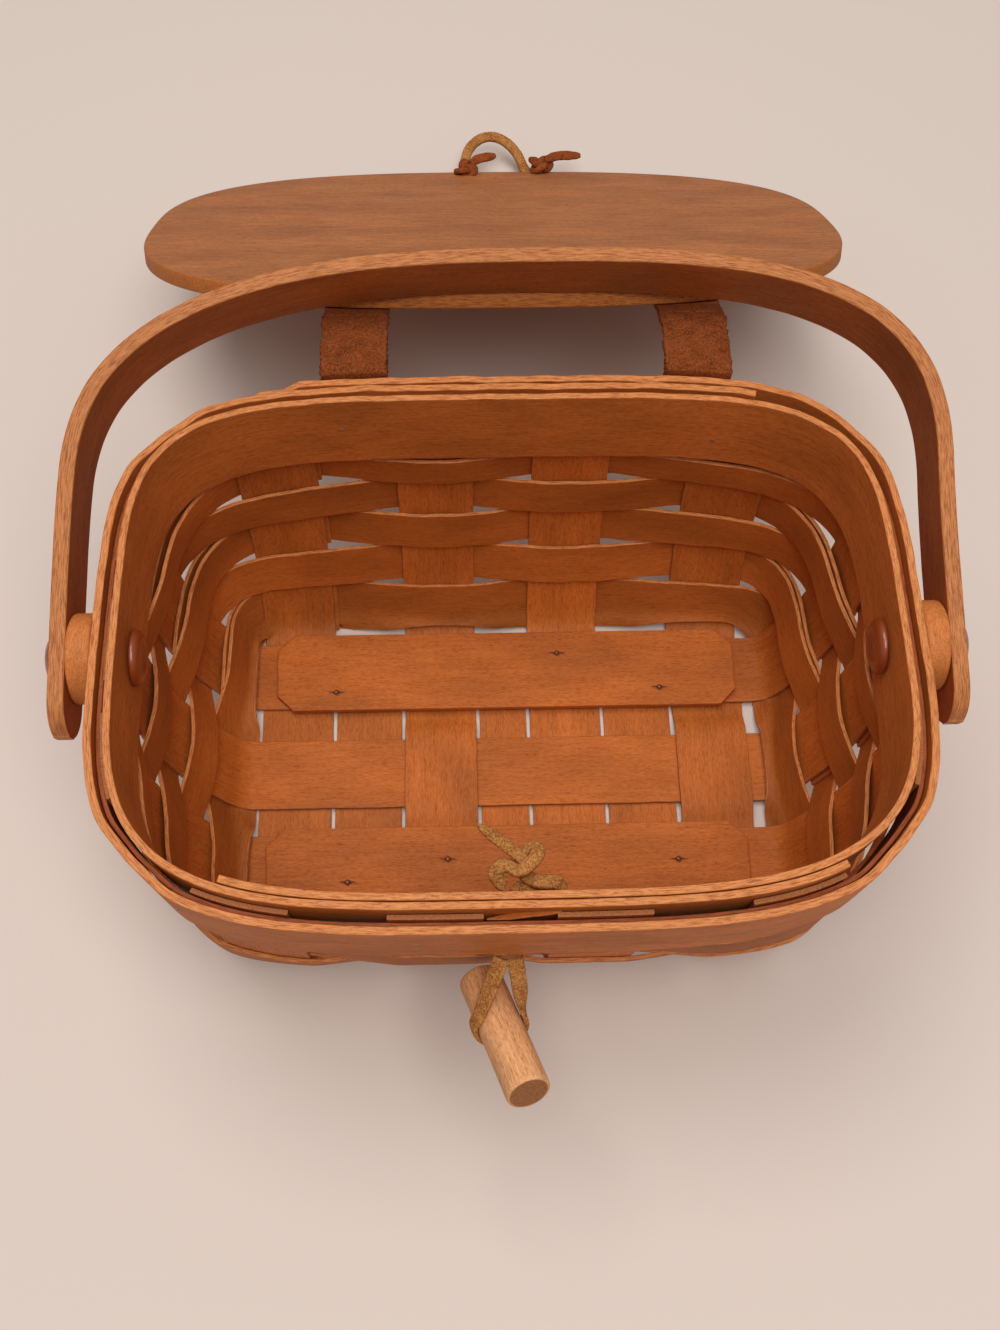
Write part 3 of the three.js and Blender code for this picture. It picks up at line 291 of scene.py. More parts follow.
def corner_spans():
    """Angles between which the rim has no upright, at its four corners."""
    spans = []
    for i, upright in enumerate(UPRIGHTS):
        following = UPRIGHTS[(i + 1) % len(UPRIGHTS)]
        if following[0] != upright[0]:
            start = upright_phi(upright, 1, RIM_HEIGHT)
            spans.append((start, after(upright_phi(following, -1, RIM_HEIGHT), start)))
    return spans


def corner_tuck(phi):
    """How far a hoop is pulled in at a corner: an eased plateau between the two uprights."""
    total = np.zeros_like(phi)
    for start, end in corner_spans():
        share = np.mod(phi - start, FULL_TURN) / (end - start)
        inside = (share > 0) & (share < 1)
        total = np.where(inside, CORNER_TUCK * ease(2.5 * np.minimum(share, 1 - share)), total)
    return total


def rim_angles(start, end):
    """Angles at even distances along the rim, from the running distance of a fine polygon."""
    fine = np.linspace(start, end, 6000)
    run = distances(wall_point(RIM_HEIGHT, fine))
    return np.interp(np.linspace(0, run[-1], int(run[-1] / RIM_STEP)), run, fine)


def wall_strip(phi, low, high, share, offset):
    """Grid of a strip round the wall, from its lower to its upper edge, at its offset off the wall."""
    z = low[:, None] + (high - low)[:, None] * share[None, :]
    return off_wall(z, phi[:, None] + 0 * z, offset[:, None] + 0 * z)


# Mesh making
def columns(width, bevel=0.2, middle=5):
    """Shares across a strip: on the quarter circle of the bevel at 0, 30, 60 and 90 degrees, then one more."""
    near = np.array([0, 0.134, 0.5, 1.0, 1.9]) * bevel / width
    inner = np.linspace(near[-1], 1 - near[-1], middle + 2)[1:-1]
    return np.concatenate([near, inner, 1 - near[::-1]])


def grid_normals(grid, closed=False):
    """Cross product of the two grid directions at each point."""
    if closed:
        along = np.roll(grid, -1, axis=0) - np.roll(grid, 1, axis=0)
    else:
        along = np.gradient(grid, axis=0)
    return unit(np.cross(along, np.gradient(grid, axis=1)))


def signed_volume(points, faces):
    """Volume from the sum of tetrahedra between the middle of the piece and each face's triangles."""
    a, b, c, d = (points[faces[:, i]] - points.mean(0) for i in range(4))
    first = np.einsum("ij,ij->i", a, np.cross(b, c)).sum()
    return first + np.einsum("ij,ij->i", a, np.cross(c, d)).sum()


def add_mesh(name, parts, material, body, stands_for=(), shift=0.0):
    """A mesh in metres from points in millimetres, with the grain direction and the cut-edge mask.
    Parts are points, four-sided faces, flat end caps, grain coordinates and the mask."""
    points, faces, caps, grain, edge = parts
    if signed_volume(points, faces) < 0:
        faces, caps = faces[:, ::-1], [cap[::-1] for cap in caps]
    mesh = bpy.data.meshes.new(name)
    mesh.from_pydata((points * MM).tolist(), [], faces.tolist() + [cap.tolist() for cap in caps])
    grain = grain + np.array([shift, shift * 0.37, 0])
    grain_layer = mesh.attributes.new("grain", "FLOAT_VECTOR", "POINT")
    grain_layer.data.foreach_set("vector", np.ascontiguousarray(grain, np.float32).ravel())
    edge_layer = mesh.attributes.new("cut_edge", "FLOAT", "POINT")
    edge_layer.data.foreach_set("value", np.ascontiguousarray(edge, np.float32).ravel())
    mesh.polygons.foreach_set("use_smooth", [True] * len(faces) + [False] * len(caps))
    mesh.validate()
    mesh.update()
    mesh.materials.append(material)
    piece = bpy.data.objects.new(name, mesh)
    bpy.context.scene.collection.objects.link(piece)
    if body:
        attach(piece, body)
    if stands_for:
        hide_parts(*stands_for)
    return piece


def ring_faces(count, around, closed):
    """Four-sided faces between neighbouring rings of points."""
    station = np.arange(count if closed else count - 1)[:, None]
    column = np.arange(around)[None, :]
    following = (station + 1) % count
    beside = (column + 1) % around
    corners = (station, column), (following, column), (following, beside), (station, beside)
    return np.stack([row * around + place for row, place in corners], -1).reshape(-1, 4)


def end_caps(count, around):
    """The first and the last ring as flat faces."""
    first = np.arange(around)
    return [first, first[::-1] + (count - 1) * around]


def strip_parts(grid, thickness, bevel=0.2, closed=False):
    """Solid round a surface grid: both faces lie half a thickness off it, along its normals. Across the
    bevel the half thickness follows a quarter circle, so the long edges are square with a small rounding."""
    if not closed:
        ends = grid[:1] * 0.88 + grid[1:2] * 0.12, grid[-1:] * 0.88 + grid[-2:-1] * 0.12
        grid = np.concatenate([grid[:1], ends[0], grid[1:-1], ends[1], grid[-1:]])
    normals = grid_normals(grid, closed)
    steps = np.linalg.norm(np.diff(grid, axis=1), axis=2)
    run = np.concatenate([np.zeros((len(grid), 1)), np.cumsum(steps, axis=1)], axis=1)
    from_edge = np.minimum(run, run[:, -1:] - run)
    inward = np.clip(bevel - from_edge, 0, bevel)
    half = thickness / 2 - bevel + np.sqrt(np.maximum(0, bevel**2 - inward**2))
    along = distances(grid[:, grid.shape[1] // 2])[:, None]
    side = 0.65 * (thickness / 2 - bevel)

    def row(cells, heights):
        return grid[:, cells] + normals[:, cells] * heights[..., None], run[:, cells], heights

    last = grid.shape[1] - 1
    flat = np.ones((len(grid), 1)) * side
    bands = [
        row(np.arange(last + 1), half),
        row(np.array([last, last]), np.concatenate([flat, -flat], 1)),
        row(np.arange(last, -1, -1), -half[:, ::-1]),
        row(np.array([0, 0]), np.concatenate([-flat, flat], 1)),
    ]
    loop = np.concatenate([band[0] for band in bands], 1)
    across = np.concatenate([band[1] for band in bands], 1)
    height = np.concatenate([band[2] for band in bands], 1)
    grain = np.stack([along + 0 * across, across, height], -1)
    near = np.minimum(across, run[:, -1:] - across)
    edge = np.clip(1.15 - near / bevel * 0.8, 0, 1)
    if not closed:
        edge[[0, -1]] = 1.0
    count, around = loop.shape[:2]
    faces, caps = ring_faces(count, around, closed), [] if closed else end_caps(count, around)
    return loop.reshape(-1, 3), faces, caps, grain.reshape(-1, 3), edge.reshape(-1)


def smooth_path(points, count):
    """Catmull-Rom curve through points: each stretch is a cubic set by its two ends and their neighbours."""
    p = np.asarray(points, float)
    padded = np.vstack([2 * p[0] - p[1], p, 2 * p[-1] - p[-2]])
    place = np.linspace(0, len(p) - 1, count)
    i = np.minimum(place.astype(int), len(p) - 2)
    t = (place - i)[:, None]
    a, b, c, d = padded[i], padded[i + 1], padded[i + 2], padded[i + 3]
    return 0.5 * (2 * b + (c - a) * t + (2 * a - 5 * b + 4 * c - d) * t**2 + (3 * b - a - 3 * c + d) * t**3)


def tube_parts(path, width, thickness, reference, closed=False, seed=1):
    """Lace along a path: its section is a squared ellipse, width across and thickness towards the reference.
    Width may change along the path. A sum of sine waves makes it a little uneven."""
    path = np.asarray(path, float)
    if closed:
        tangent = unit(np.roll(path, -1, axis=0) - np.roll(path, 1, axis=0))
    else:
        tangent = unit(np.gradient(path, axis=0))
    reference = np.broadcast_to(np.asarray(reference, float), path.shape)
    side = unit(np.cross(reference, tangent))
    up = unit(np.cross(tangent, side))
    angle = np.linspace(0, FULL_TURN, LACE_SIDES, endpoint=False)
    along = distances(path)
    swell = 1 + LACE_UNEVEN * ripple(along, seed, (5.1, 2.7, 1.6))[:, None]
    width = np.broadcast_to(np.asarray(width, float), along.shape)[:, None]
    shape_x = signed_power(np.cos(angle), 0.6)[None, :] * width / 2 * swell
    shape_y = signed_power(np.sin(angle), 0.6)[None, :] * thickness / 2 * (2 - swell)
    rings = path[:, None] + side[:, None] * shape_x[..., None] + up[:, None] * shape_y[..., None]
    grain = np.stack([along[:, None] + 0 * shape_x, shape_x, shape_y], -1)
    faces, caps = ring_faces(*rings.shape[:2], closed), [] if closed else end_caps(*rings.shape[:2])
    points = rings.reshape(-1, 3)
    return points, faces, caps, grain.reshape(-1, 3), np.zeros(len(points))


def lathe_parts(profile, start, axis, sides=48, cut_faces=True):
    """A profile of radius and height turned about an axis; both ends of the profile lie on the axis.
    Faces square to the axis are cut wood, or else nothing is."""
    profile = np.asarray(profile, float)
    axis = unit(np.asarray(axis, float))
    side, up = square_to(axis)
    angle = np.linspace(0, FULL_TURN, sides, endpoint=False)
    radius = np.maximum(profile[:, 0], 0.02)[:, None]
    x, y = radius * np.cos(angle), radius * np.sin(angle)
    height = profile[:, 1][:, None] + 0 * x
    points = np.asarray(start) + x[..., None] * side + y[..., None] * up + height[..., None] * axis
    grain = np.stack([height, x, y], -1)
    steep = cut_faces & (np.abs(np.gradient(profile[:, 1])) < 0.25 * np.abs(np.gradient(profile[:, 0])))
    edge = (steep[:, None] + 0 * x).reshape(-1)
    count = len(profile)
    faces, caps = ring_faces(count, sides, False), end_caps(count, sides)
    return points.reshape(-1, 3), faces, caps, grain.reshape(-1, 3), edge


# Materials
def linear(hex_colour):
    """Linear RGBA from an sRGB hex colour."""
    srgb = [int(hex_colour[i : i + 2], 16) / 255 for i in (1, 3, 5)]
    return [c / 12.92 if c <= 0.04045 else ((c + 0.055) / 1.055) ** 2.4 for c in srgb] + [1.0]


def tinted(colour, factors):
    """A linear colour with each channel multiplied, up to full."""
    return [min(1.0, channel * factor) for channel, factor in zip(colour, factors)] + [1.0]


def add_node(tree, kind, inputs, output=0, stops=(), **settings):
    """Adds a node with its settings and colour stops, sets or links its inputs, and returns one output."""
    made = tree.nodes.new(f"ShaderNode{kind}")
    for key, value in settings.items():
        setattr(made, key, value)
    for _ in stops[2:]:
        made.color_ramp.elements.new(0.5)
    for i, (position, colour) in enumerate(stops):
        made.color_ramp.elements[i].position = position
        made.color_ramp.elements[i].color = colour
    for key, value in inputs.items() if isinstance(inputs, dict) else enumerate(inputs):
        if isinstance(value, bpy.types.NodeSocket):
            tree.links.new(value, made.inputs[key])
        else:
            made.inputs[key].default_value = value
    return made.outputs[output] if made.outputs else None


def new_material(name):
    """An empty material and its node tree."""
    material = bpy.data.materials.new(name)
    material.use_nodes = True
    material.node_tree.nodes.clear()
    return material, material.node_tree


def finish_surface(tree, inputs, height=None, strength=0.0, depth=0.0):
    """Joins the surface to the output, with a bump from a height where there is one. Depth is in metres."""
    if height:
        bump = {"Strength": strength, "Distance": depth, "Height": height}
        inputs = {**inputs, "Normal": add_node(tree, "Bump", bump)}
    add_node(tree, "OutputMaterial", {"Surface": add_node(tree, "BsdfPrincipled", inputs)})


def stained_split_wood(name, colour, cut, seed=0.0, contrast=1.0, pores=0.45, edge_amount=0.85):
    """Split maple, lightly sanded and stained honey brown: ticks about 2 mm long and 0.2 mm wide along the
    grain, fibres about 8 mm long, cloudy patches where the stain sank in, and paler, streaky cut edges."""
    material, tree = new_material(name)
    grain = add_node(tree, "Attribute", {}, "Vector", attribute_name="grain")
    edge = add_node(tree, "Attribute", {}, "Fac", attribute_name="cut_edge")
    seen = {}
    # Each pattern's scale is in cells per millimetre along the grain, across it and through it
    for pattern, scale, detail, rough, move in (
        ("fibres", (0.12, 1.4, 1.4), 5.0, 0.65, 0.0),
        ("ticks", (0.6, 3.8, 3.8), 3.0, 0.65, 9.0),
        ("clouds", (0.035, 0.075, 0.2), 2.0, 0.5, 21.0),
        ("pores", (0.7, 5.5, 5.5), 1.0, 0.5, 33.0),
        ("splinters", (0.32, 4.6, 4.6), 4.0, 0.75, 47.0),
    ):
        start = (seed + move, seed * 0.7, seed * 0.3)
        place = add_node(tree, "Mapping", {"Vector": grain, "Location": start, "Scale": scale})
        settings = {"Vector": place, "Scale": 1.0, "Detail": detail, "Roughness": rough}
        seen[pattern] = add_node(tree, "TexNoise", settings)
    blend = {"output": 2, "data_type": "RGBA"}
    base, pale = linear(colour), linear(cut)
    dark = tinted(base, [1 - drop * contrast for drop in (0.31, 0.4, 0.48)])
    light = tinted(base, [1 + lift * contrast for lift in (0.16, 0.24, 0.36)])
    ticks = add_node(tree, "Math", (seen["ticks"], 0.62), operation="MULTIPLY")
    grained = add_node(tree, "Math", (seen["fibres"], 0.38, ticks), operation="MULTIPLY_ADD")
    wood = add_node(tree, "ValToRGB", (grained,), stops=((0.36, dark), (0.5, base), (0.64, light)))
    cloud = add_node(tree, "MapRange", (seen["clouds"], 0.32, 0.68, 0.84, 1.14))
    tone = add_node(tree, "CombineXYZ", (cloud, cloud, cloud))
    wood = add_node(tree, "Mix", {0: 1.0, 6: wood, 7: tone}, blend_type="MULTIPLY", **blend)
    pore = add_node(tree, "MapRange", (seen["pores"], 0.63, 0.72, 0.0, pores))
    wood = add_node(tree, "Mix", {0: pore, 6: wood, 7: tinted(dark, (0.45, 0.35, 0.3))}, **blend)
    shadow, glint = tinted(pale, (0.5, 0.38, 0.3)), tinted(pale, (1.3, 1.45, 1.6))
    cut_wood = add_node(tree, "ValToRGB", (seen["splinters"],), stops=((0.38, shadow), (0.5, pale), (0.66, glint)))
    ragged = add_node(tree, "Math", (seen["splinters"], 0.8, -0.4), operation="MULTIPLY_ADD")
    ragged = add_node(tree, "Math", (edge, ragged), operation="ADD")
    bare = add_node(tree, "MapRange", (ragged, 0.35, 0.8, 0.0, edge_amount))
    surface = {
        "Base Color": add_node(tree, "Mix", {0: bare, 6: wood, 7: cut_wood}, **blend),
        "Roughness": add_node(tree, "MapRange", (seen["fibres"], 0.3, 0.7, 0.68, 0.56)),
        "IOR": 1.45,
        "Specular IOR Level": 0.3,
    }
    height = add_node(tree, "Math", (grained, seen["splinters"]), operation="ADD")
    finish_surface(tree, surface, height, 0.3, 0.00015)
    return material


def napped_suede(name, dark, light, grit=1.0, patchy=1.0):
    """Split cowhide suede: no shine, and a rough nap of fibres about half a millimetre long, which shows as
    light and dark specks over soft patches where the nap lies the other way."""
    material, tree = new_material(name)
    place = add_node(tree, "TexCoord", {}, "Object")
    patches = add_node(tree, "TexNoise", {"Vector": place, "Scale": 330.0, "Detail": 3.0, "Roughness": 0.6})
    fibres = add_node(tree, "TexNoise", {"Vector": place, "Scale": 2100.0, "Detail": 3.0, "Roughness": 0.75})
    soft = add_node(tree, "Math", (patches, patchy), operation="MULTIPLY")
    mixed = add_node(tree, "Math", (fibres, 1.4 * grit, soft), operation="MULTIPLY_ADD")
    middle = 0.5 * patchy + 0.7 * grit
    factor = add_node(tree, "MapRange", (mixed, middle - 0.3, middle + 0.3))
    colour = add_node(tree, "ValToRGB", (factor,), stops=((0.0, linear(dark)), (1.0, linear(light))))
    surface = {"Base Color": colour, "Roughness": 0.95, "Specular IOR Level": 0.15}
    finish_surface(tree, surface, mixed, 0.8, 0.0004)
    return material


def lacquered_steel(name, colour):
    """Pressed steel under a dark red-brown lacquer: a small sharp highlight, and duller spots where it is worn."""
    material, tree = new_material(name)
    place = add_node(tree, "TexCoord", {}, "Object")
    spots = add_node(tree, "TexNoise", {"Vector": place, "Scale": 420.0, "Detail": 4.0, "Roughness": 0.65})
    gloss = add_node(tree, "MapRange", (spots, 0.3, 0.7, 0.23, 0.48))
    surface = {"Base Color": linear(colour), "Roughness": gloss, "Metallic": 0.0, "Coat Weight": 0.5}
    finish_surface(tree, surface, spots, 0.25, 0.0002)
    return material


def plain_steel(name, colour):
    """Small steel tack, dulled and dented by the hammer."""
    material, tree = new_material(name)
    place = add_node(tree, "TexCoord", {}, "Object")
    spots = add_node(tree, "TexNoise", {"Vector": place, "Scale": 900.0, "Detail": 3.0})
    surface = {"Base Color": linear(colour), "Roughness": 0.5, "Metallic": 0.25}
    finish_surface(tree, surface, spots, 0.3, 0.0001)
    return material


def pale_table(name, colour):
    """Matt pale surface that the basket stands on: no gloss and no pattern."""
    material, tree = new_material(name)
    finish_surface(tree, {"Base Color": linear(colour), "Roughness": 0.75})
    return material


class BasketColours(bpy.types.PropertyGroup):
    """Colours of the basket, as sRGB hex values."""

    splint: bpy.props.StringProperty(name="Splint", description="Stained wood of the splints", default="#bb6526")
    band: bpy.props.StringProperty(name="Band", description="Stained wood of the rim bands", default="#bd692c")
    handle: bpy.props.StringProperty(name="Handle", description="Stained wood of the handle", default="#a85823")
    lid: bpy.props.StringProperty(name="Lid", description="Stained wood of the lid", default="#b06b3a")
    cut_edge: bpy.props.StringProperty(name="Cut edge", description="Paler wood on the cut edges", default="#d1844c")
    peg: bpy.props.StringProperty(name="Peg", description="Bare wood of the toggle peg", default="#da9f6d")
    suede: bpy.props.StringProperty(name="Strap", description="Suede of the straps", default="#a65629")
    lace: bpy.props.StringProperty(name="Lace", description="Leather of the lace", default="#dd9c59")
    rivet: bpy.props.StringProperty(name="Rivet", description="Lacquer of the rivets", default="#883a15")
    table: bpy.props.StringProperty(name="Stage", description="Surface under the basket", default="#dccdc4")


class BasketSizes(bpy.types.PropertyGroup):
    """Sizes that a user would change."""

    edge_waviness: bpy.props.FloatProperty(
        name="Edge waviness",
        description="How far the hand-cut edges wander",
        default=0.00022,
        subtype="DISTANCE",
        unit="LENGTH",
    )
    lens: bpy.props.FloatProperty(
        name="Lens", description="Focal length of the camera", default=52.612, unit="CAMERA"
    )


MATERIALS = {}


def shade(hex_colour, factor):
    """The same colour, lighter or darker."""
    parts = [min(255, round(int(hex_colour[i : i + 2], 16) * factor)) for i in (1, 3, 5)]
    return "#" + "".join(f"{part:02x}" for part in parts)


def materials():
    """The finishes, made once."""
    if MATERIALS:
        return MATERIALS
    c, made, wood = bpy.context.scene.basket_colours, MATERIALS, stained_split_wood
    # The weavers are painted about seven per cent darker than the uprights: painted shade of the walls, which get
    # less light than the base. The spread within each set of three is random tone.
    for i, (upright, weaver) in enumerate(((0.97, 0.9), (1.03, 0.96), (1.0, 0.93))):
        # The uprights' cut edges are darkened: painted shade in the gap between the bands, where their ends show, and
        # along their edges on the base.
        name, shaded_cut_edge = f"stained_split_maple_{i + 1}", shade(c.cut_edge, 0.78)
        made[f"splint_{i}"] = wood(name, shade(c.splint, upright), shaded_cut_edge, seed=17.0 * i)
        name = f"stained_split_maple_weaver_painted_shade_{i + 1}"
        made[f"weaver_{i}"] = wood(name, shade(c.splint, weaver), c.cut_edge, seed=17.0 * i + 5, contrast=0.8)
    # The hoop and its cut edge are painted darker than the splints: painted shade in the gap between the uprights and
    # the outer band.
    made["hoop"] = wood("stained_split_maple_hoop_painted_shade", shade(c.splint, 0.78), "#9a4c26", seed=52.0)
    made["band"] = wood("stained_bent_maple_band", c.band, c.cut_edge, seed=61.0)
    made["handle"] = wood("stained_bent_maple_handle", c.handle, shade(c.cut_edge, 0.9), seed=83.0, pores=0.6)
    made["lid"] = wood("stained_flat_maple_board", c.lid, "#b0642a", 7.0, contrast=1.25, pores=0.6, edge_amount=0.9)
    made["base"] = wood("stained_maple_base_board", c.splint, c.splint, seed=29.0, pores=0.6, edge_amount=0.5)
    made["spacer"] = wood("stained_maple_disc", "#c8763a", "#cf8344", seed=41.0, edge_amount=0.5)
    made["peg"] = wood("bare_maple_dowel", c.peg, "#9a6038", 3.0, contrast=1.2, pores=0.5, edge_amount=1.0)
    made["suede"] = napped_suede("split_suede_strap", "#54250c", c.suede, 1.15, patchy=0.5)
    made["lace"] = napped_suede("tan_suede_lace", "#84491c", c.lace, 1.2, patchy=0.6)
    made["lace_dark"] = napped_suede("worn_suede_lace", "#64290f", "#b0602e", patchy=0.6)
    made["rivet"] = lacquered_steel("lacquered_pressed_steel", c.rivet)
    made["tack"] = plain_steel("plain_steel_tack", "#9a6a4c")
    # Painted shade of the sunk tack holes and the splits beside them.
    made["dark_mark"] = wood("tack_split_painted_shade", "#5a2810", "#5a2810", seed=2.0)
    made["table"] = pale_table("matt_table_top", c.table)
    return made


# Strips of the basket as grids of points
def fine_angles(start, end):
    """Angles from start to end, crowded where they cross an axis, because the outline moves fast there."""
    near = np.geomspace(1e-12, 0.05, 700)
    near = np.concatenate([near, -near])
    quarter = math.pi / 2
    crossings = np.arange(math.ceil(start / quarter), math.floor(end / quarter) + 1) * math.pi / 2
    angles = np.concatenate([np.linspace(start, end, 6000), *(c + near for c in crossings)])
    return np.unique(np.clip(angles, start, end))


def weaver_grid(row, waviness):
    """Row between two levels. It lies flat outside one upright, from edge to edge, and from there to the next
    outside one its distance off the wall is a sine arch, high enough to clear the upright that it passes inside.
    The foot of the first row follows the quarter ellipse of the bent end splints, under or over them."""
    middle = (LEVELS[row] + LEVELS[row + 1]) / 2
    bottom, top = LEVELS[row] + ROW_GAP / 2, LEVELS[row + 1] - ROW_GAP / 2
    start, laps = (5, 2) if row % 2 == 0 else (0, 3)
    passes = len(UPRIGHTS) + laps
    indices = [(start + turn) % len(UPRIGHTS) for turn in range(passes)]
    inside = np.array([(index + row) % 2 == 0 for index in indices])
    first = np.array([upright_phi(UPRIGHTS[index], 0, middle) for index in indices])
    centres = first + FULL_TURN * np.concatenate([[0], np.cumsum(np.diff(first) < 0)])
    fine = fine_angles(centres[0] - 0.3, centres[-1] + 0.3)
    walk = distances(wall_point(middle, fine))
    places = np.interp(centres, fine, walk)
    reach = np.diff(places)
    half = SPLINT_WIDTH / 2
    flat = half + FLAT_PAST_EDGE
    free = np.maximum(reach - flat, 6.0)
    rise = 2 * WEAVE_CLEAR / np.sin(np.pi / 2 * np.clip(1 - half / free, 0.45, 1))
    peak = np.maximum(np.append(rise, rise[-1]), np.insert(rise, 0, rise[0]))
    turns = np.arange(passes)
    layer = np.where(inside & (turns < laps), -WEAVER_LAP_LAYER, 0.0)
    layer = np.where(~inside & (turns >= len(UPRIGHTS)), WEAVER_LAP_LAYER, layer)
    run = np.arange(places[0] - half - 1, places[-1] + half + 1, WEAVER_STEP)
    k = np.clip(np.searchsorted(places, run) - 1, 0, passes - 2)
    share = np.clip((run - places[k]) / reach[k], 0, 1)
    from_outside = np.where(inside[k], 1 - share, share) * reach[k] - flat
    arch = np.where(inside[k], peak[k], peak[k + 1]) * np.sin(np.pi / 2 * np.clip(from_outside / free[k], 0, 1))
    offset = WEAVE_CLEAR - arch + layer[k] + (layer[k + 1] - layer[k]) * ease(share)
    offset[1:-1] = (offset[:-2] + 2 * offset[1:-1] + offset[2:]) / 4

    def around(z):
        """Angle of each point, found level by level so that the row meets every upright squarely."""
        phi = np.empty(z.shape)
        for column, level in enumerate(z.mean(0)):
            turned = np.array([upright_phi(UPRIGHTS[index], 0, level) for index in indices]) - first
            there = centres + np.angle(np.exp(1j * turned))
            length = distances(wall_point(level, fine))
            stops = np.interp(there, fine, length)
            known = np.concatenate([[places[0] - 40], places, [places[-1] + 40]])
            wanted = np.concatenate([[stops[0] - 40], stops, [stops[-1] + 40]])
            phi[:, column] = np.interp(np.interp(run, known, wanted), length, fine)
        return phi

    phi = np.interp(run, walk, fine)
    low = bottom + waviness * ripple(run, 10 + row)
    high = top + waviness * ripple(run, 20 + row)
    if row > 0:
        across = columns(top - bottom)
        z = low[:, None] + (high - low)[:, None] * across[None, :]
        return off_wall(z, around(z), offset[:, None] + 0 * z)
    across = columns(top - bottom, middle=14)
    facing = unit(off_wall(top, phi, 1.0) - off_wall(top, phi, 0.0))
    end_wall = ease((np.abs(facing[:, 0]) - 0.5) / 0.4)
    floor_z = LOW_Z + (STRIP_Z - LOW_Z) * end_wall
    corner = ease(3.2 * np.abs(facing[:, 0] * facing[:, 1]))
    lowest = np.radians(38 - 30 * end_wall + 18 * corner)
    lowest[6:-6] = np.convolve(lowest, np.ones(13) / 13, "valid")
    bend = (np.pi / 2 - lowest) * FOOT_BEND_RADIUS
    length = (bend + high - BASE_BEND_HEIGHT)[:, None] * across[None, :]
    turn = lowest[:, None] + (np.pi / 2 - lowest)[:, None] * np.clip(length / bend[:, None], 0, 1)
    off = np.maximum(offset, -1.9)[:, None] * (1 - across[None, :]) + offset[:, None] * across[None, :]
    drop = BASE_BEND_HEIGHT - floor_z[:, None] + off
    z = BASE_BEND_HEIGHT - drop * np.cos(turn) + np.maximum(length - bend[:, None], 0)
    away = off * np.sin(turn) - BASE_BEND_RUN * (1 - np.sin(turn))
    return off_wall(np.maximum(z, 0.55), around(z), away)


def splint_line(edge, floor_z, floor_along, floor_height):
    """One line of a splint: up one wall, round the bend as a quadratic Bezier curve, over the base and up
    the other wall. Returns its place along the splint and its height."""

    def side_line(side):
        z = np.linspace(UPRIGHT_TOP, BASE_BEND_HEIGHT, 46)
        wall = edge(z, side)
        slope = (edge(LEVELS[1], side) - edge(LEVELS[0], side)) / ROW_PITCH
        foot = wall[-1]
        corner = foot - slope * (BASE_BEND_HEIGHT - floor_z)
        t = np.linspace(0, 1, 9)[1:]
        along = (1 - t) ** 2 * foot + 2 * t * (1 - t) * corner + t**2 * (corner - side * BASE_BEND_RUN)
        height = (1 - t) ** 2 * BASE_BEND_HEIGHT + 2 * t * (1 - t) * floor_z + t**2 * floor_z
        return np.concatenate([wall, along]), np.concatenate([z, height])

    left, right = side_line(-1), side_line(1)
    along = np.concatenate([left[0], floor_along, right[0][::-1]])
    height = np.concatenate([left[1], floor_height, right[1][::-1]])
    return along, height


def upright_grid(axis, at, floor, waviness, seed):
    """Splint across the base, each of its lines on the wall where that line's X, or its Y, meets it."""
    share = columns(SPLINT_WIDTH)
    edge = (y_on_wall, x_on_wall)[axis]
    lines = []
    for s in share:
        beside = at + (s - 0.5) * SPLINT_WIDTH
        along, height = splint_line(lambda z, side: edge(beside, z, side), *floor)
        lines.append(np.insert(np.column_stack([along, height]), axis, beside, axis=1))
    grid = np.stack(lines, 1)
    grid[..., axis] += waviness * ripple(np.arange(len(grid)) * 3.0, seed)[:, None] * (share - 0.5)[None, :]
    return grid


def long_upright_grid(x, raised, waviness, seed):
    """Splint from front to back, lifted over the middle end splint where it is raised."""
    floor_y = np.linspace(-36, 36, 33)
    lift = ease((SPLINT_WIDTH / 2 + UPRIGHT_ROOM + 6 - np.abs(floor_y)) / 6) * raised
    return upright_grid(0, x, (LOW_Z, floor_y, LOW_Z + (RAISED_Z - LOW_Z) * lift), waviness, seed)


def end_upright_grid(y, waviness, seed):
    """Splint from left to right, over the long splints."""
    floor_x = np.linspace(-60, 62, 41)
    return upright_grid(1, y, (STRIP_Z, floor_x, np.full(len(floor_x), STRIP_Z)), waviness, seed)


def inner_band_grid(waviness):
    """Inner band: starts one layer in at the front left, goes round and ends over its own start."""
    start, leave = (phi_at_x(x, RIM_HEIGHT, -1) for x in INNER_LAP_X)
    settle = FULL_TURN + phi_at_y(0, RIM_HEIGHT, 1)
    phi = rim_angles(start, leave + FULL_TURN)
    offset = INNER_BAND_OFFSET - LAP_STEP * (1 - ease((phi - leave) / (settle - leave)))
    share = columns(RIM_HEIGHT - BAND_BOTTOM, bevel=0.25, middle=6)
    run = np.arange(len(phi)) * RIM_STEP
    low = BAND_BOTTOM + waviness * ripple(run, 31)
    return wall_strip(phi, low, RIM_HEIGHT + waviness * ripple(run, 32), share, offset)


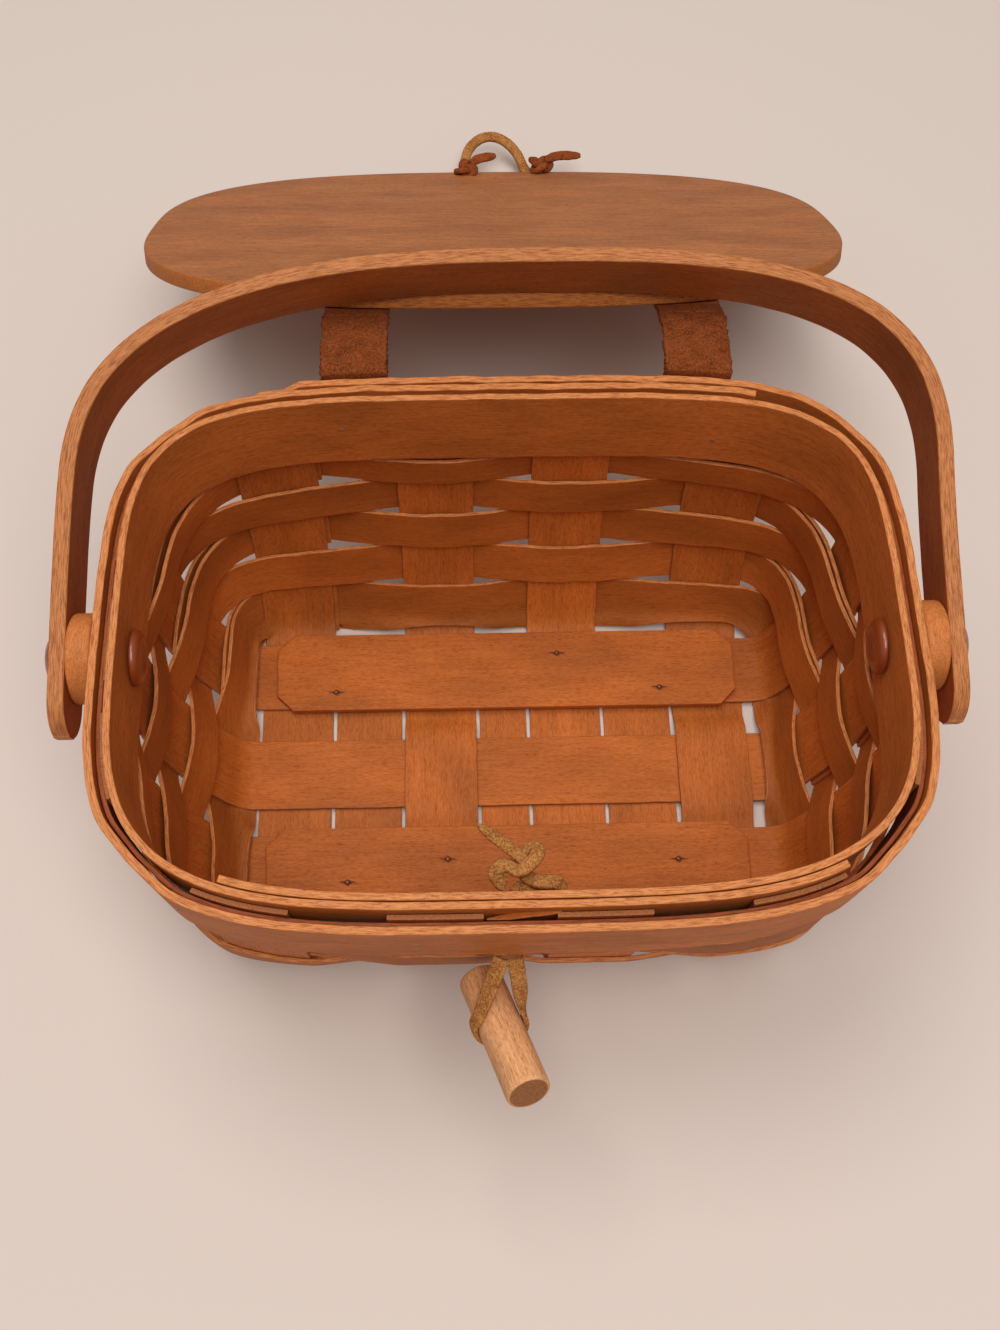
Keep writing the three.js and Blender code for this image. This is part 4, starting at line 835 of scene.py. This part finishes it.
def outer_band_grid(waviness):
    """Outer band: starts at the back right, goes round and ends over its own start at the back left."""
    start, end = (phi_at_x(x, RIM_HEIGHT, 1) for x in OUTER_LAP_X)
    phi = rim_angles(start, end + FULL_TURN)
    rise = FULL_TURN + phi_at_y(10, RIM_HEIGHT, 1)
    share_up = ease((phi - rise) / (FULL_TURN + start - 0.05 - rise))
    offset = OUTER_BAND_OFFSET + (OUTER_LAP_OFFSET - OUTER_BAND_OFFSET) * share_up - corner_tuck(phi)
    share = columns(OUTER_BAND_TOP - BAND_BOTTOM, bevel=0.25, middle=6)
    run = np.arange(len(phi)) * RIM_STEP
    low = BAND_BOTTOM + waviness * ripple(run, 41)
    high = OUTER_BAND_TOP + waviness * 1.5 * ripple(run, 42)
    left = run[-1] - run
    high = high - 1.9 * ease((14 - left) / 3) - 2.6 * ease((5 - left) / 2.5)
    return wall_strip(phi, low, high, share, offset)


def top_hoop_grid():
    """Hoop between the uprights and the outer band."""
    phi = rim_angles(0, FULL_TURN)[:-1]
    top = HOOP_TOP + 0 * phi
    return wall_strip(phi, top - HOOP_HEIGHT, top, columns(HOOP_HEIGHT), HOOP_OFFSET - corner_tuck(phi))


def turn_x(points, degrees, centre):
    """Points turned about an axis along X through a centre."""
    angle = math.radians(degrees)
    matrix = np.array([[1, 0, 0], [0, math.cos(angle), -math.sin(angle)], [0, math.sin(angle), math.cos(angle)]])
    return (points - centre) @ matrix.T + centre


def handle_grid():
    """Handle in its upright plane: straight arms, then a squared ellipse, its lean growing with a power of
    the height, and round tails; then turned back about the rivets."""
    power = 2 / HANDLE_SQUARE
    angle = np.linspace(0, np.pi, 150)
    bow_x = HANDLE_HALF_SPAN * signed_power(np.cos(angle), power)
    bow_z = HANDLE_STRAIGHT + (HANDLE_REACH - HANDLE_STRAIGHT) * signed_power(np.maximum(0, np.sin(angle)), power)
    half = HANDLE_WIDTH / 2
    tail_share = 1 - np.cos(np.linspace(0, np.pi / 2, 14))
    tail_z = -HANDLE_TAIL + tail_share * half
    tail_half = half * np.maximum(0.25, np.sqrt(1 - (1 - tail_share) ** 2))
    arm_z = np.linspace(tail_z[-1], HANDLE_STRAIGHT, 14)[1:-1]
    x = np.concatenate([np.full(26, HANDLE_HALF_SPAN), bow_x, np.full(26, -HANDLE_HALF_SPAN)])
    z = np.concatenate([tail_z, arm_z, bow_z, arm_z[::-1], tail_z[::-1]])
    halves = np.concatenate([tail_half, np.full(12, half), np.full(150, half), np.full(12, half), tail_half[::-1]])
    x = x + HANDLE_LEAN * (np.maximum(z, 0) / HANDLE_REACH) ** HANDLE_LEAN_CURVE
    share = columns(HANDLE_WIDTH, bevel=0.4, middle=5) * 2 - 1
    grid = np.stack([x[:, None] + 0 * share, halves[:, None] * share[None, :], z[:, None] + 0 * share], -1)
    grid[..., 1] += 0.12 * ripple(distances(np.column_stack([x, z])), 51)[:, None]
    pivot = np.array([0, 0, PIVOT_HEIGHT])
    return turn_x(grid + pivot, -HANDLE_BACK_ANGLE, pivot)


def slab_parts(outline, bottom, top, bevel=0.35):
    """Flat board from an outline: each ring is the outline drawn in towards the middle by the inset of the
    edge profile, whose corners are quarter circles, and both faces end in one small flat cap."""
    centre = outline.mean(0)
    turn = bevel * np.array([1.9, 1.0, 0.5, 0.134, 0.0])
    rise = bevel * np.array([0.0, 0.0, 0.134, 0.5, 1.0])
    inset = np.concatenate([[1e3, 12, 3], turn, turn[::-1], [3, 12, 1e3]])
    height = np.concatenate([[bottom] * 3, bottom + rise, top - rise[::-1], [top] * 3])
    away = outline - centre
    reach = np.linalg.norm(away, axis=1)
    share = np.maximum(0.01, 1 - inset[:, None] / reach[None, :])
    flat = centre + away[None] * share[..., None]
    level = height[:, None] + 0 * share
    points = np.concatenate([flat, level[..., None]], -1)
    edge = np.clip(1.15 - inset / bevel * 0.8, 0, 1)[:, None] + 0 * share
    points = points.reshape(-1, 3)
    return points, ring_faces(*share.shape, False), end_caps(*share.shape), points, edge.reshape(-1)


def cut_corner_outline(x, y, half_x, half_y, cut, seed, wander=0.3):
    """Outline of a board with clipped corners, resampled every 2 mm, its sides wandering a little."""
    x_side = np.array([1, 1, 1, -1, -1, -1, -1, 1, 1])
    y_side = np.array([-1, 1, 1, 1, 1, -1, -1, -1, -1])
    inset = cut * np.array([0, 0, 1, 1, 0, 0, 1, 1, 0])
    corners = np.column_stack([x_side * (half_x - inset), y_side * (half_y - cut + inset)])
    run = distances(corners)
    count = int(run[-1] / 2) // 2 * 2
    place = np.sort(np.concatenate([np.linspace(0, run[-1], count, endpoint=False)[1:], run[:-1] + 1e-6]))
    place = place[: len(place) // 2 * 2]
    outline = np.column_stack([np.interp(place, run, corners[:, 0]), np.interp(place, run, corners[:, 1])])
    outline = outline * (1 - wander / 60 * (1 + ripple(place, seed))[:, None] / 2)
    return outline + np.array([x, y])


def open_lid(points):
    """From the closed lid's place to where it lies open."""
    return turn_x(points, -LID_OPEN_ANGLE, HINGE)


class BasketPiece:
    """Shared by the operators."""

    bl_options = {"REGISTER", "UNDO"}


def strip_piece(node, ending, grid, thickness, material, shift=0.0, body="basket", slot="splint_wood", **shape):
    """A strip of wood in the place of a solid of the frame. The shift moves its grain pattern along."""
    parts = strip_parts(grid, thickness, **shape)
    return add_mesh(f"{node}_{ending}", parts, material, body, [node], shift=shift)


class MakeUprights(BasketPiece, bpy.types.Operator):
    """Splints that cross under the base and stand up in the walls"""

    bl_idname = "basket.make_uprights"
    bl_label = "Uprights"

    def execute(self, context):
        finish = materials()
        wave = context.scene.basket_sizes.edge_waviness / MM
        for i, x in enumerate(LONG_UPRIGHT_X):
            grid, wood = long_upright_grid(x, i % 2 == 1, wave, 60 + i), finish[f"splint_{(i * 2) % 3}"]
            strip_piece(f"upright_long_{i + 1}", "splint", grid, SPLINT_THICKNESS, wood, 190.0 * i)
        for i, (name, y) in enumerate(END_STRIP_Y.items()):
            grid, wood = end_upright_grid(y, wave, 70 + i), finish[f"splint_{(i + 1) % 3}"]
            strip_piece(f"upright_end_{name}", "splint", grid, SPLINT_THICKNESS, wood, 911 + 230.0 * i)
        return {"FINISHED"}


class MakeBase(BasketPiece, bpy.types.Operator):
    """Fillers, the two boards and their tacks"""

    bl_idname = "basket.make_base"
    bl_label = "Base"

    def execute(self, context):
        finish = materials()
        half = SPLINT_WIDTH / 2 + UPRIGHT_ROOM
        for i, name in enumerate(("left", "middle", "right")):
            x0, x1 = LONG_UPRIGHT_X[i] + half, LONG_UPRIGHT_X[i + 1] - half
            size = (x1 - x0) / 2, BASE_HALF_WIDTH - 5.5
            outline = cut_corner_outline((x0 + x1) / 2, 0, *size, 0.3, 80 + i, 0.0)
            points, faces, caps, grain, edge = slab_parts(outline, 0.0, SPLINT_THICKNESS, bevel=0.2)
            parts = points, faces, caps, grain[:, [1, 0, 2]], edge
            node = f"base_filler_{name}"
            add_mesh(f"{node}_splint", parts, finish[f"splint_{i}"], "basket", [node], shift=300.0 * i)
        for i, (name, place) in enumerate(BOARD_PLACES.items()):
            outline = cut_corner_outline(*place, BOARD_HALF_LENGTH, BOARD_HALF_WIDTH, BOARD_CORNER, 90 + i, 0.5)
            parts = slab_parts(outline, BOARD_BOTTOM, BOARD_BOTTOM + BOARD_THICKNESS)
            node = f"base_board_{name}"
            add_mesh(f"{node}_board", parts, finish["base"], "basket", [node], shift=400.0 * i + 90)
        head = [(0, -0.5), (0.42, -0.45), (0.5, 0.2), (0.4, 0.28), (0.24, 0.32), (0, 0.34)]
        widths = np.interp(np.linspace(0, 1, 24), [0, 0.25, 0.48, 0.72, 1], [0.08, 0.28, 1.55, 0.3, 0.08])
        # A dark streak at each tack stands for its sunk hole and the split beside it: painted shade.
        mark = [(-2.1, 0.1), (-0.9, 0), (0.2, -0.05), (1.2, 0), (2.4, -0.15)]
        for node in [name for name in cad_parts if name.startswith("board_tack")]:
            low, high = np.array(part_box(node)) / MM
            centre = (low + high) / 2
            centre[2] = high[2] - 0.25
            parts = lathe_parts(head, centre, (0, 0, 1), sides=20, cut_faces=False)
            add_mesh(f"{node}_head", parts, finish["tack"], "basket", [node])
            x, y, z = centre + (0, 0, 0.24)
            split = smooth_path([(x + along, y + across, z) for along, across in mark], 24)
            parts = tube_parts(split, widths, 0.16, (0, 0, 1), seed=4)
            add_mesh(f"{node}_mark", parts, finish["dark_mark"], "basket")
        return {"FINISHED"}


class MakeWeave(BasketPiece, bpy.types.Operator):
    """The woven rows"""

    bl_idname = "basket.make_weave"
    bl_label = "Woven rows"

    def execute(self, context):
        finish = materials()
        wave = context.scene.basket_sizes.edge_waviness / MM
        for row in range(ROW_COUNT):
            grid, wood = weaver_grid(row, wave), finish[f"weaver_{row % 3}"]
            strip_piece(f"weaver_row_{row + 1}", "splint", grid, WEAVER_THICKNESS, wood, 1500 + 640.0 * row)
        return {"FINISHED"}


class MakeRim(BasketPiece, bpy.types.Operator):
    """Inner and outer band, the hoop between them and the brads that pin them"""

    bl_idname = "basket.make_rim"
    bl_label = "Rim"

    def execute(self, context):
        finish = materials()
        wave = context.scene.basket_sizes.edge_waviness / MM
        strip_piece("rim_hoop_hidden", "strip", top_hoop_grid(), WEAVER_THICKNESS, finish["hoop"], closed=True)
        band = {"slot": "band_wood", "bevel": 0.25}
        strip_piece("rim_band_inner", "strip", inner_band_grid(wave), INNER_BAND, finish["band"], 40.0, **band)
        strip_piece("rim_band_outer", "strip", outer_band_grid(wave), OUTER_BAND, finish["band"], 700.0, **band)
        inside, outside = INNER_BAND_OFFSET - INNER_BAND / 2, OUTER_BAND_OFFSET + OUTER_BAND / 2
        head = [(0, -0.5), (0.6, -0.45), (0.65, 0.0), (0.5, 0.06), (0, 0.1)]
        brads = [(-38.0, 78.5, 1, inside), (50.0, 74.0, 1, inside)]
        brads += [(-66.5, 78.0, -1, outside), (-20.5, 78.0, -1, outside)]
        for i, (x, z, side, offset) in enumerate(brads):
            phi = phi_at_x(x, z, side)
            centre = off_wall(z, phi, offset)
            facing = unit(off_wall(z, phi, offset + 1) - centre) * (1 if offset > 0 else -1)
            parts = lathe_parts(head, centre, facing, sides=16, cut_faces=False)
            add_mesh(f"rim_brad_{i + 1}", parts, finish["tack"], "basket", ())
        slivers = (
            ([(-6.5, -61.9, 83.6), (-1.5, -61.6, 84.4), (3.5, -61.3, 85.2), (8.4, -61.2, 85.7)], 1.5),
            ([(85.4, -4.0, 85.0), (85.2, -10.0, 86.4), (84.6, -17.0, 85.6), (84.2, -23.5, 86.8)], 1.0),
            ([(85.0, -12.5, 85.2), (84.7, -19.0, 86.9), (84.0, -26.0, 86.2), (83.0, -31.0, 87.2)], 0.8),
        )
        for i, (line, width) in enumerate(slivers):
            path = smooth_path(line, 40)
            parts = tube_parts(path, leaf(40, 0.4, width, 0.15), 0.35, (0.3, 0.3, 1), seed=30 + i)
            add_mesh(f"rim_band_sliver_{i + 1}", parts, finish["band"], "basket", ())
        return {"FINISHED"}


class MakeHandle(BasketPiece, bpy.types.Operator):
    """Bent handle, discs and rivets"""

    bl_idname = "basket.make_handle"
    bl_label = "Handle"

    def execute(self, context):
        finish = materials()
        place = {"shift": 33.0, "body": "handle", "slot": "handle_wood", "bevel": 0.4}
        strip_piece("handle", "bow", handle_grid(), HANDLE_THICKNESS, finish["handle"], **place)

        def span(node):
            """Nearest and farthest X of a solid from the middle."""
            reach = np.abs(np.array(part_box(node))[:, 0]) / MM
            return reach.min(), reach.max()

        rim = [(9.0, 0.0), (9.6, 0.08), (9.9, 0.4), (10.0, 0.8)]
        dished = [(6.2, 2.25), (6.35, 2.0), (6.1, 1.1), (5.2, 0.45), (4.2, 0.2), (3.2, 0.5), (2.2, 1.0), (1.2, 0.75)]
        dome = [(1.8, 2.4), (5.7, 2.4), (5.8, 2.2), (5.4, 1.6), (4.2, 0.75), (2.2, 0.15), (0, 0)]
        for name, side in (("left", -1), ("right", 1)):
            node = f"handle_spacer_{name}"
            near, far = span(node)
            back = [(r, far - near - h) for r, h in rim[::-1]]
            profile = [(0, 0.02), *rim, *back, (0, far - near - 0.02)]
            points, faces, caps, grain, edge = lathe_parts(profile, (side * near, 0, PIVOT_HEIGHT), (side, 0, 0), 64)
            parts = points, faces, caps, grain[:, [1, 2, 0]], edge
            add_mesh(f"{node}_disc", parts, finish["spacer"], "basket", [node], shift=90.0 * side)
            node = f"handle_rivet_{name}"
            near, far = span(node)
            head = [(0, near + 0.7)] + [(r, near + h) for r, h in dished[::-1]]
            profile = head + [(1.8, near + 2.3)] + [(r, far - h) for r, h in dome]
            parts = lathe_parts(profile, (0, 0, PIVOT_HEIGHT), (side, 0, 0), 56, cut_faces=False)
            add_mesh(f"{node}_head", parts, finish["rivet"], "basket", [node])
        return {"FINISHED"}


class MakeLid(BasketPiece, bpy.types.Operator):
    """Flat lid board"""

    bl_idname = "basket.make_lid"
    bl_label = "Lid"

    def execute(self, context):
        finish = materials()
        angle = np.linspace(0, FULL_TURN, 260, endpoint=False)
        power = 2 / LID_SQUARE
        x = LID_HALF_LENGTH * signed_power(np.cos(angle), power)
        outline = np.column_stack([x, LID_HALF_DEPTH * signed_power(np.sin(angle), power)])
        points, *rest = slab_parts(outline, LID_UNDERSIDE, LID_UNDERSIDE + LID_THICKNESS, 0.5)
        parts = open_lid(points), *rest
        add_mesh("lid_board", parts, finish["lid"], "lid", ["lid"], shift=220.0)
        return {"FINISHED"}


class MakeStraps(BasketPiece, bpy.types.Operator):
    """The two suede straps that carry the lid"""

    bl_idname = "basket.make_straps"
    bl_label = "Straps"

    def execute(self, context):
        finish = materials()
        skin = STRAP_THICKNESS / 2 + FIT_GAP
        lid_top = LID_UNDERSIDE + LID_THICKNESS + skin
        _, lid_y, lid_z = open_lid(np.array([0, LID_HALF_DEPTH, lid_top]))
        end_place = open_lid(np.array([0, LID_HALF_DEPTH - STRAP_ON_LID, lid_top]))
        over = OUTER_BAND_TOP + 0.6
        share = columns(STRAP_WIDTH, bevel=0.5, middle=8)
        for name, x in STRAP_X.items():
            lines = []
            for s in share:
                line_x = x + (s - 0.5) * STRAP_WIDTH
                phi = phi_at_x(line_x, RIM_HEIGHT, 1)
                layer = OUTER_LAP_OFFSET if OUTER_LAP_X[1] < line_x < OUTER_LAP_X[0] else OUTER_BAND_OFFSET
                stand = layer + OUTER_BAND / 2 + skin
                low = off_wall(OUTER_BAND_TOP - STRAP_ON_RIM, phi, stand)
                _, y, z = off_wall(OUTER_BAND_TOP - 1, phi, stand)
                on_rim = [low[1:], (y, z), (y + 0.5, over - 0.2), (y + 1.9, over + 0.5), (y + 6, over + 0.6)]
                free = [(lid_y - 5.5, over), (lid_y - 2, lid_z + 1.1), (lid_y + 0.6, lid_z - 0.45)]
                route = on_rim + free + [end_place[1:]]
                path = smooth_path(route, 150)
                lines.append(np.column_stack([np.full(len(path), line_x), path]))
            grid = np.stack(lines, 1)
            run = np.arange(len(grid)) * 0.33
            fray = np.random.RandomState(int(x) + 200).uniform(-0.16, 0.16, (2, len(grid)))
            left = 0.3 * ripple(run, 91, (7.0, 2.3, 1.1)) + fray[0]
            right = 0.3 * ripple(run, 92, (6.0, 2.1, 1.3)) + fray[1]
            grid[..., 0] += left[:, None] * (1 - share)[None, :] ** 6 + right[:, None] * share[None, :] ** 6
            parts = strip_parts(grid, STRAP_THICKNESS, bevel=0.5)
            piece = add_mesh(f"strap_{name}_suede", parts, finish["suede"], None, [f"strap_{name}"])
            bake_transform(piece)
        return {"FINISHED"}


def knot_path(centre, facing, radius, spin):
    """Trefoil: x = sin t + 2 sin 2t, y = cos t - 2 cos 2t, z = -sin 3t, scaled and turned to its facing."""
    t = np.linspace(0, FULL_TURN, 120, endpoint=False)
    curve = np.column_stack([np.sin(t) + 2 * np.sin(2 * t), np.cos(t) - 2 * np.cos(2 * t), -1.15 * np.sin(3 * t)])
    facing = unit(np.asarray(facing, float))
    first, second = square_to(facing)
    side = math.cos(spin) * first + math.sin(spin) * second
    up = np.cross(facing, side)
    return np.asarray(centre) + radius / 3 * (curve[:, :1] * side + curve[:, 1:2] * up + curve[:, 2:] * facing)


def leaf(count, root, middle, tip):
    """Widths along a lace end that is cut to a slanting point."""
    widths = [root, middle, middle, (middle + tip) / 2, tip]
    return np.interp(np.linspace(0, 1, count), [0, 0.3, 0.75, 0.93, 1], widths)


class MakeLaces(BasketPiece, bpy.types.Operator):
    """Lace loop of the lid and the lace of the peg"""

    bl_idname = "basket.make_laces"
    bl_label = "Laces"

    def execute(self, context):
        finish = materials()

        def lace(name, path, width, thickness, reference, body, node, seed, kind="lace", closed=False):
            parts = tube_parts(path, width, thickness, reference, closed, seed=seed)
            return add_mesh(name, parts, finish[kind], body, [node] if node else ())

        bight = [(-6, 200.3, 2.2), (-7, 204.6, 4.2), (-7.0, 208.6, 7), (-5.2, 212.9, 8.2), (-1.6, 216.0, 8.7)]
        bight += [(2.6, 216.6, 8.6), (6.6, 214.6, 8.0), (9.8, 210.9, 6.9), (12.4, 206.4, 4.4), (17, 201, 1.6)]
        line = smooth_path(bight, 110)
        arch = lace("lid_lace_bight", line, 3.1, 2.0, (0, -0.3, 1), "lid", "lid_lace_loop", 3)
        lid_up = np.array([0, 0.581, 0.814])
        left_tail = [(-5.4, 203.6, 10.7), (-2.4, 205.2, 11.1), (2.6, 207.2, 10.1)]
        right_tail = [(18.4, 204.4, 11.2), (23.0, 205.8, 11.4), (29.8, 207.2, 9.9)]
        for name, centre, radius, spin, tail in (
            ("left", (-6.7, 202.1, 9.6), 2.7, 0.3, left_tail),
            ("right", (16.9, 204.1, 9.25), 2.9, 1.2, right_tail),
        ):
            node, path = f"lid_lace_knot_{name}", knot_path(centre, (0, 0.1, 1), radius, spin)
            lace(f"{node}_tied", path, 3.0, 1.8, lid_up, "lid", node, 5, "lace_dark", closed=True)
            path, widths = smooth_path(tail, 30), leaf(30, 2.0, 2.9, 1.4)
            lace(f"lid_lace_tail_{name}", path, widths, 1.2, (0, -0.5, 1), "lid", None, 6, "lace_dark")

        axis = unit(PEG_AXIS)
        wrap = PEG_PLACE - 2.8 * axis
        side, up = square_to(axis)
        hole = np.array([-1.95, -65.3, 65.2])
        reach = PEG_RADIUS + 0.65
        toward = hole - wrap
        rise, across = toward @ up, toward @ side
        facing, opening = math.atan2(rise, across), math.acos(reach / math.hypot(rise, across))
        angle = np.linspace(facing + opening, facing - opening + FULL_TURN, 22)
        out = np.cos(angle)[:, None] * side + np.sin(angle)[:, None] * up
        ring = wrap + reach * out + axis * 0.9 * np.cos(angle)[:, None]
        left, right = hole + (-1.35, 0, 0), hole + (1.45, 0, 0)
        t = np.linspace(0, 1, 7)[:-1, None]
        path = np.concatenate([left + (ring[0] - left) * t, ring, (right + (ring[-1] - right) * t)[::-1]])
        faced = np.array([0, -0.42, 0.9])
        reference = np.concatenate([faced + (out[0] - faced) * t, out, (faced + (out[-1] - faced) * t**2)[::-1]])
        path, reference = smooth_path(path, 150), unit(smooth_path(reference, 150))
        sling = lace("toggle_lace_loop", path, 3.5, 1.25, reference, "toggle", "toggle_lace_sling", 8)
        for name, x in (("left", -3.7), ("right", -0.2)):
            node = f"toggle_lace_{name}"
            path = smooth_path([(x, -64.7, 65.1), (x + 0.2, -61, 65.1), (x + 0.9, -55, 66.2), (1.6, -50.6, 68.0)], 40)
            lace(f"{node}_strand", path, 3.0, 1.2, (0, 0, 1), "basket", node, 9)
        knot = [(1.0, -51.5, 68.0), (-2.5, -50.9, 69.6), (-4.3, -48.6, 70.3), (-2.2, -47.0, 70.8), (0.8, -48.3, 71.4)]
        knot += [(3.6, -46.6, 72.2), (4.8, -44.2, 71.8), (3.0, -43.5, 70.4), (1.2, -45.6, 68.9), (2.2, -48.6, 68.3)]
        knot += [(5.0, -50.3, 69.4), (8.7, -50.6, 69.3), (9.0, -52.2, 67.7), (5.2, -52.5, 67.0)]
        path = smooth_path(knot + knot[:3], 170)[10:150]
        lace("toggle_lace_knot_tied", path, 3.1, 1.7, (0.1, 0.1, 1), "basket", "toggle_lace_knot", 11)
        tail = [(2.6, -46.9, 71.2), (0.4, -45.2, 72.4), (-3.6, -42.2, 73.6), (-7.9, -39.0, 74.0)]
        path, widths = smooth_path(tail, 40), leaf(40, 2.0, 3.0, 0.4)
        lace("toggle_lace_tail_end", path, widths, 1.2, (0.3, 0.2, 1), "basket", "toggle_lace_tail", 12)
        return {"FINISHED"}


class MakePeg(BasketPiece, bpy.types.Operator):
    """Toggle peg"""

    bl_idname = "basket.make_peg"
    bl_label = "Peg"

    def execute(self, context):
        finish = materials()
        half, r = PEG_HALF_LENGTH, PEG_RADIUS
        face = [(r * s, half) for s in (0.0, 0.3, 0.6, 0.82)]
        end = face + [(r - 0.35, half - 0.04), (r - 0.1, half - 0.25), (r, half - 0.7)]
        profile = [(a, -b) for a, b in end] + [(r, s) for s in np.linspace(2 - half, half - 2, 7)] + end[::-1]
        parts = lathe_parts(profile, PEG_PLACE, PEG_AXIS, sides=56)
        add_mesh("toggle_peg_dowel", parts, finish["peg"], "toggle", ["toggle_peg"], shift=55.0)
        return {"FINISHED"}


class MakeStage(BasketPiece, bpy.types.Operator):
    """Surface to stand on, lamps and camera"""

    bl_idname = "basket.make_stage"
    bl_label = "Stage"

    def execute(self, context):
        finish = materials()
        scene = context.scene
        mesh = bpy.data.meshes.new("table_top")
        corners = (-4, -4), (4, -4), (4, 4), (-4, 4)
        mesh.from_pydata([(x, y, -0.0002) for x, y in corners], [], [(0, 1, 2, 3)])
        mesh.materials.append(finish["table"])
        table = bpy.data.objects.new("table_top", mesh)
        scene.collection.objects.link(table)
        for name, place, size, power, colour in (
            ("softbox_overhead", (-0.25, 0.35, 1.4), 0.8, 7.0, (1.0, 0.985, 0.96)),
            ("softbox_front", (0.1, -0.38, 1.3), 0.8, 9.5, (1.0, 0.98, 0.95)),
        ):
            lamp = bpy.data.lights.new(name, "AREA")
            lamp.shape = "DISK"
            lamp.size = size
            lamp.energy = power
            lamp.color = colour
            item = bpy.data.objects.new(name, lamp)
            scene.collection.objects.link(item)
            item.location = place
            item.rotation_euler = (Vector((0, 0.02, 0.05)) - Vector(place)).to_track_quat("-Z", "Y").to_euler()
        world = bpy.data.worlds.new("room")
        scene.world = world
        world.use_nodes = True
        sky = world.node_tree.nodes["Background"].inputs
        sky["Color"].default_value = (1.0, 0.95, 0.905, 1.0)
        sky["Strength"].default_value = 0.28
        scene.view_settings.view_transform = "Standard"
        # The camera looks along forward, and roll then turns it about that line
        tilt, swing, roll = CAMERA_TURNS
        forward = Vector((math.sin(swing) * math.cos(tilt), math.cos(swing) * math.cos(tilt), -math.sin(tilt)))
        right = Vector((math.cos(swing), -math.sin(swing), 0))
        above = right.cross(forward)
        x_axis = math.cos(roll) * right + math.sin(roll) * above
        y_axis = -math.sin(roll) * right + math.cos(roll) * above
        lens = bpy.data.cameras.new("camera")
        lens.sensor_fit = "HORIZONTAL"
        lens.sensor_width = 36.0
        lens.lens = scene.basket_sizes.lens
        camera = bpy.data.objects.new("camera", lens)
        scene.collection.objects.link(camera)
        rotation = Matrix((x_axis, y_axis, -forward)).transposed().to_4x4()
        camera.matrix_world = Matrix.Translation(CAMERA_PLACE) @ rotation
        scene.camera = camera
        return {"FINISHED"}


STEPS = (MakeUprights, MakeBase, MakeWeave, MakeRim, MakeHandle, MakeLid, MakeStraps, MakeLaces, MakePeg, MakeStage)


class BasketPanel(bpy.types.Panel):
    """Lists the steps that make the basket"""

    bl_idname = "VIEW3D_PT_basket"
    bl_label = "Splint basket"
    bl_space_type = "VIEW_3D"
    bl_region_type = "UI"
    bl_category = "Basket"

    def draw(self, context):
        for step in STEPS:
            self.layout.operator(step.bl_idname)
        for group in (context.scene.basket_sizes, context.scene.basket_colours):
            for key in group.__annotations__:
                self.layout.prop(group, key)


CLASSES = (BasketColours, BasketSizes, *STEPS, BasketPanel)


def register():
    """Adds the classes and the settings."""
    for item in CLASSES:
        bpy.utils.register_class(item)
    bpy.types.Scene.basket_colours = bpy.props.PointerProperty(type=BasketColours)
    bpy.types.Scene.basket_sizes = bpy.props.PointerProperty(type=BasketSizes)


def unregister():
    """Removes them."""
    del bpy.types.Scene.basket_colours
    del bpy.types.Scene.basket_sizes
    for item in reversed(CLASSES):
        bpy.utils.unregister_class(item)


def main():
    """Makes the pieces in order."""
    register()
    bpy.ops.basket.make_stage()
    bpy.ops.basket.make_uprights()
    bpy.ops.basket.make_base()
    bpy.ops.basket.make_weave()
    bpy.ops.basket.make_rim()
    bpy.ops.basket.make_handle()
    bpy.ops.basket.make_lid()
    bpy.ops.basket.make_straps()
    bpy.ops.basket.make_laces()
    bpy.ops.basket.make_peg()
    bpy.context.view_layer.update()


if __name__ == "__main__":
    main()
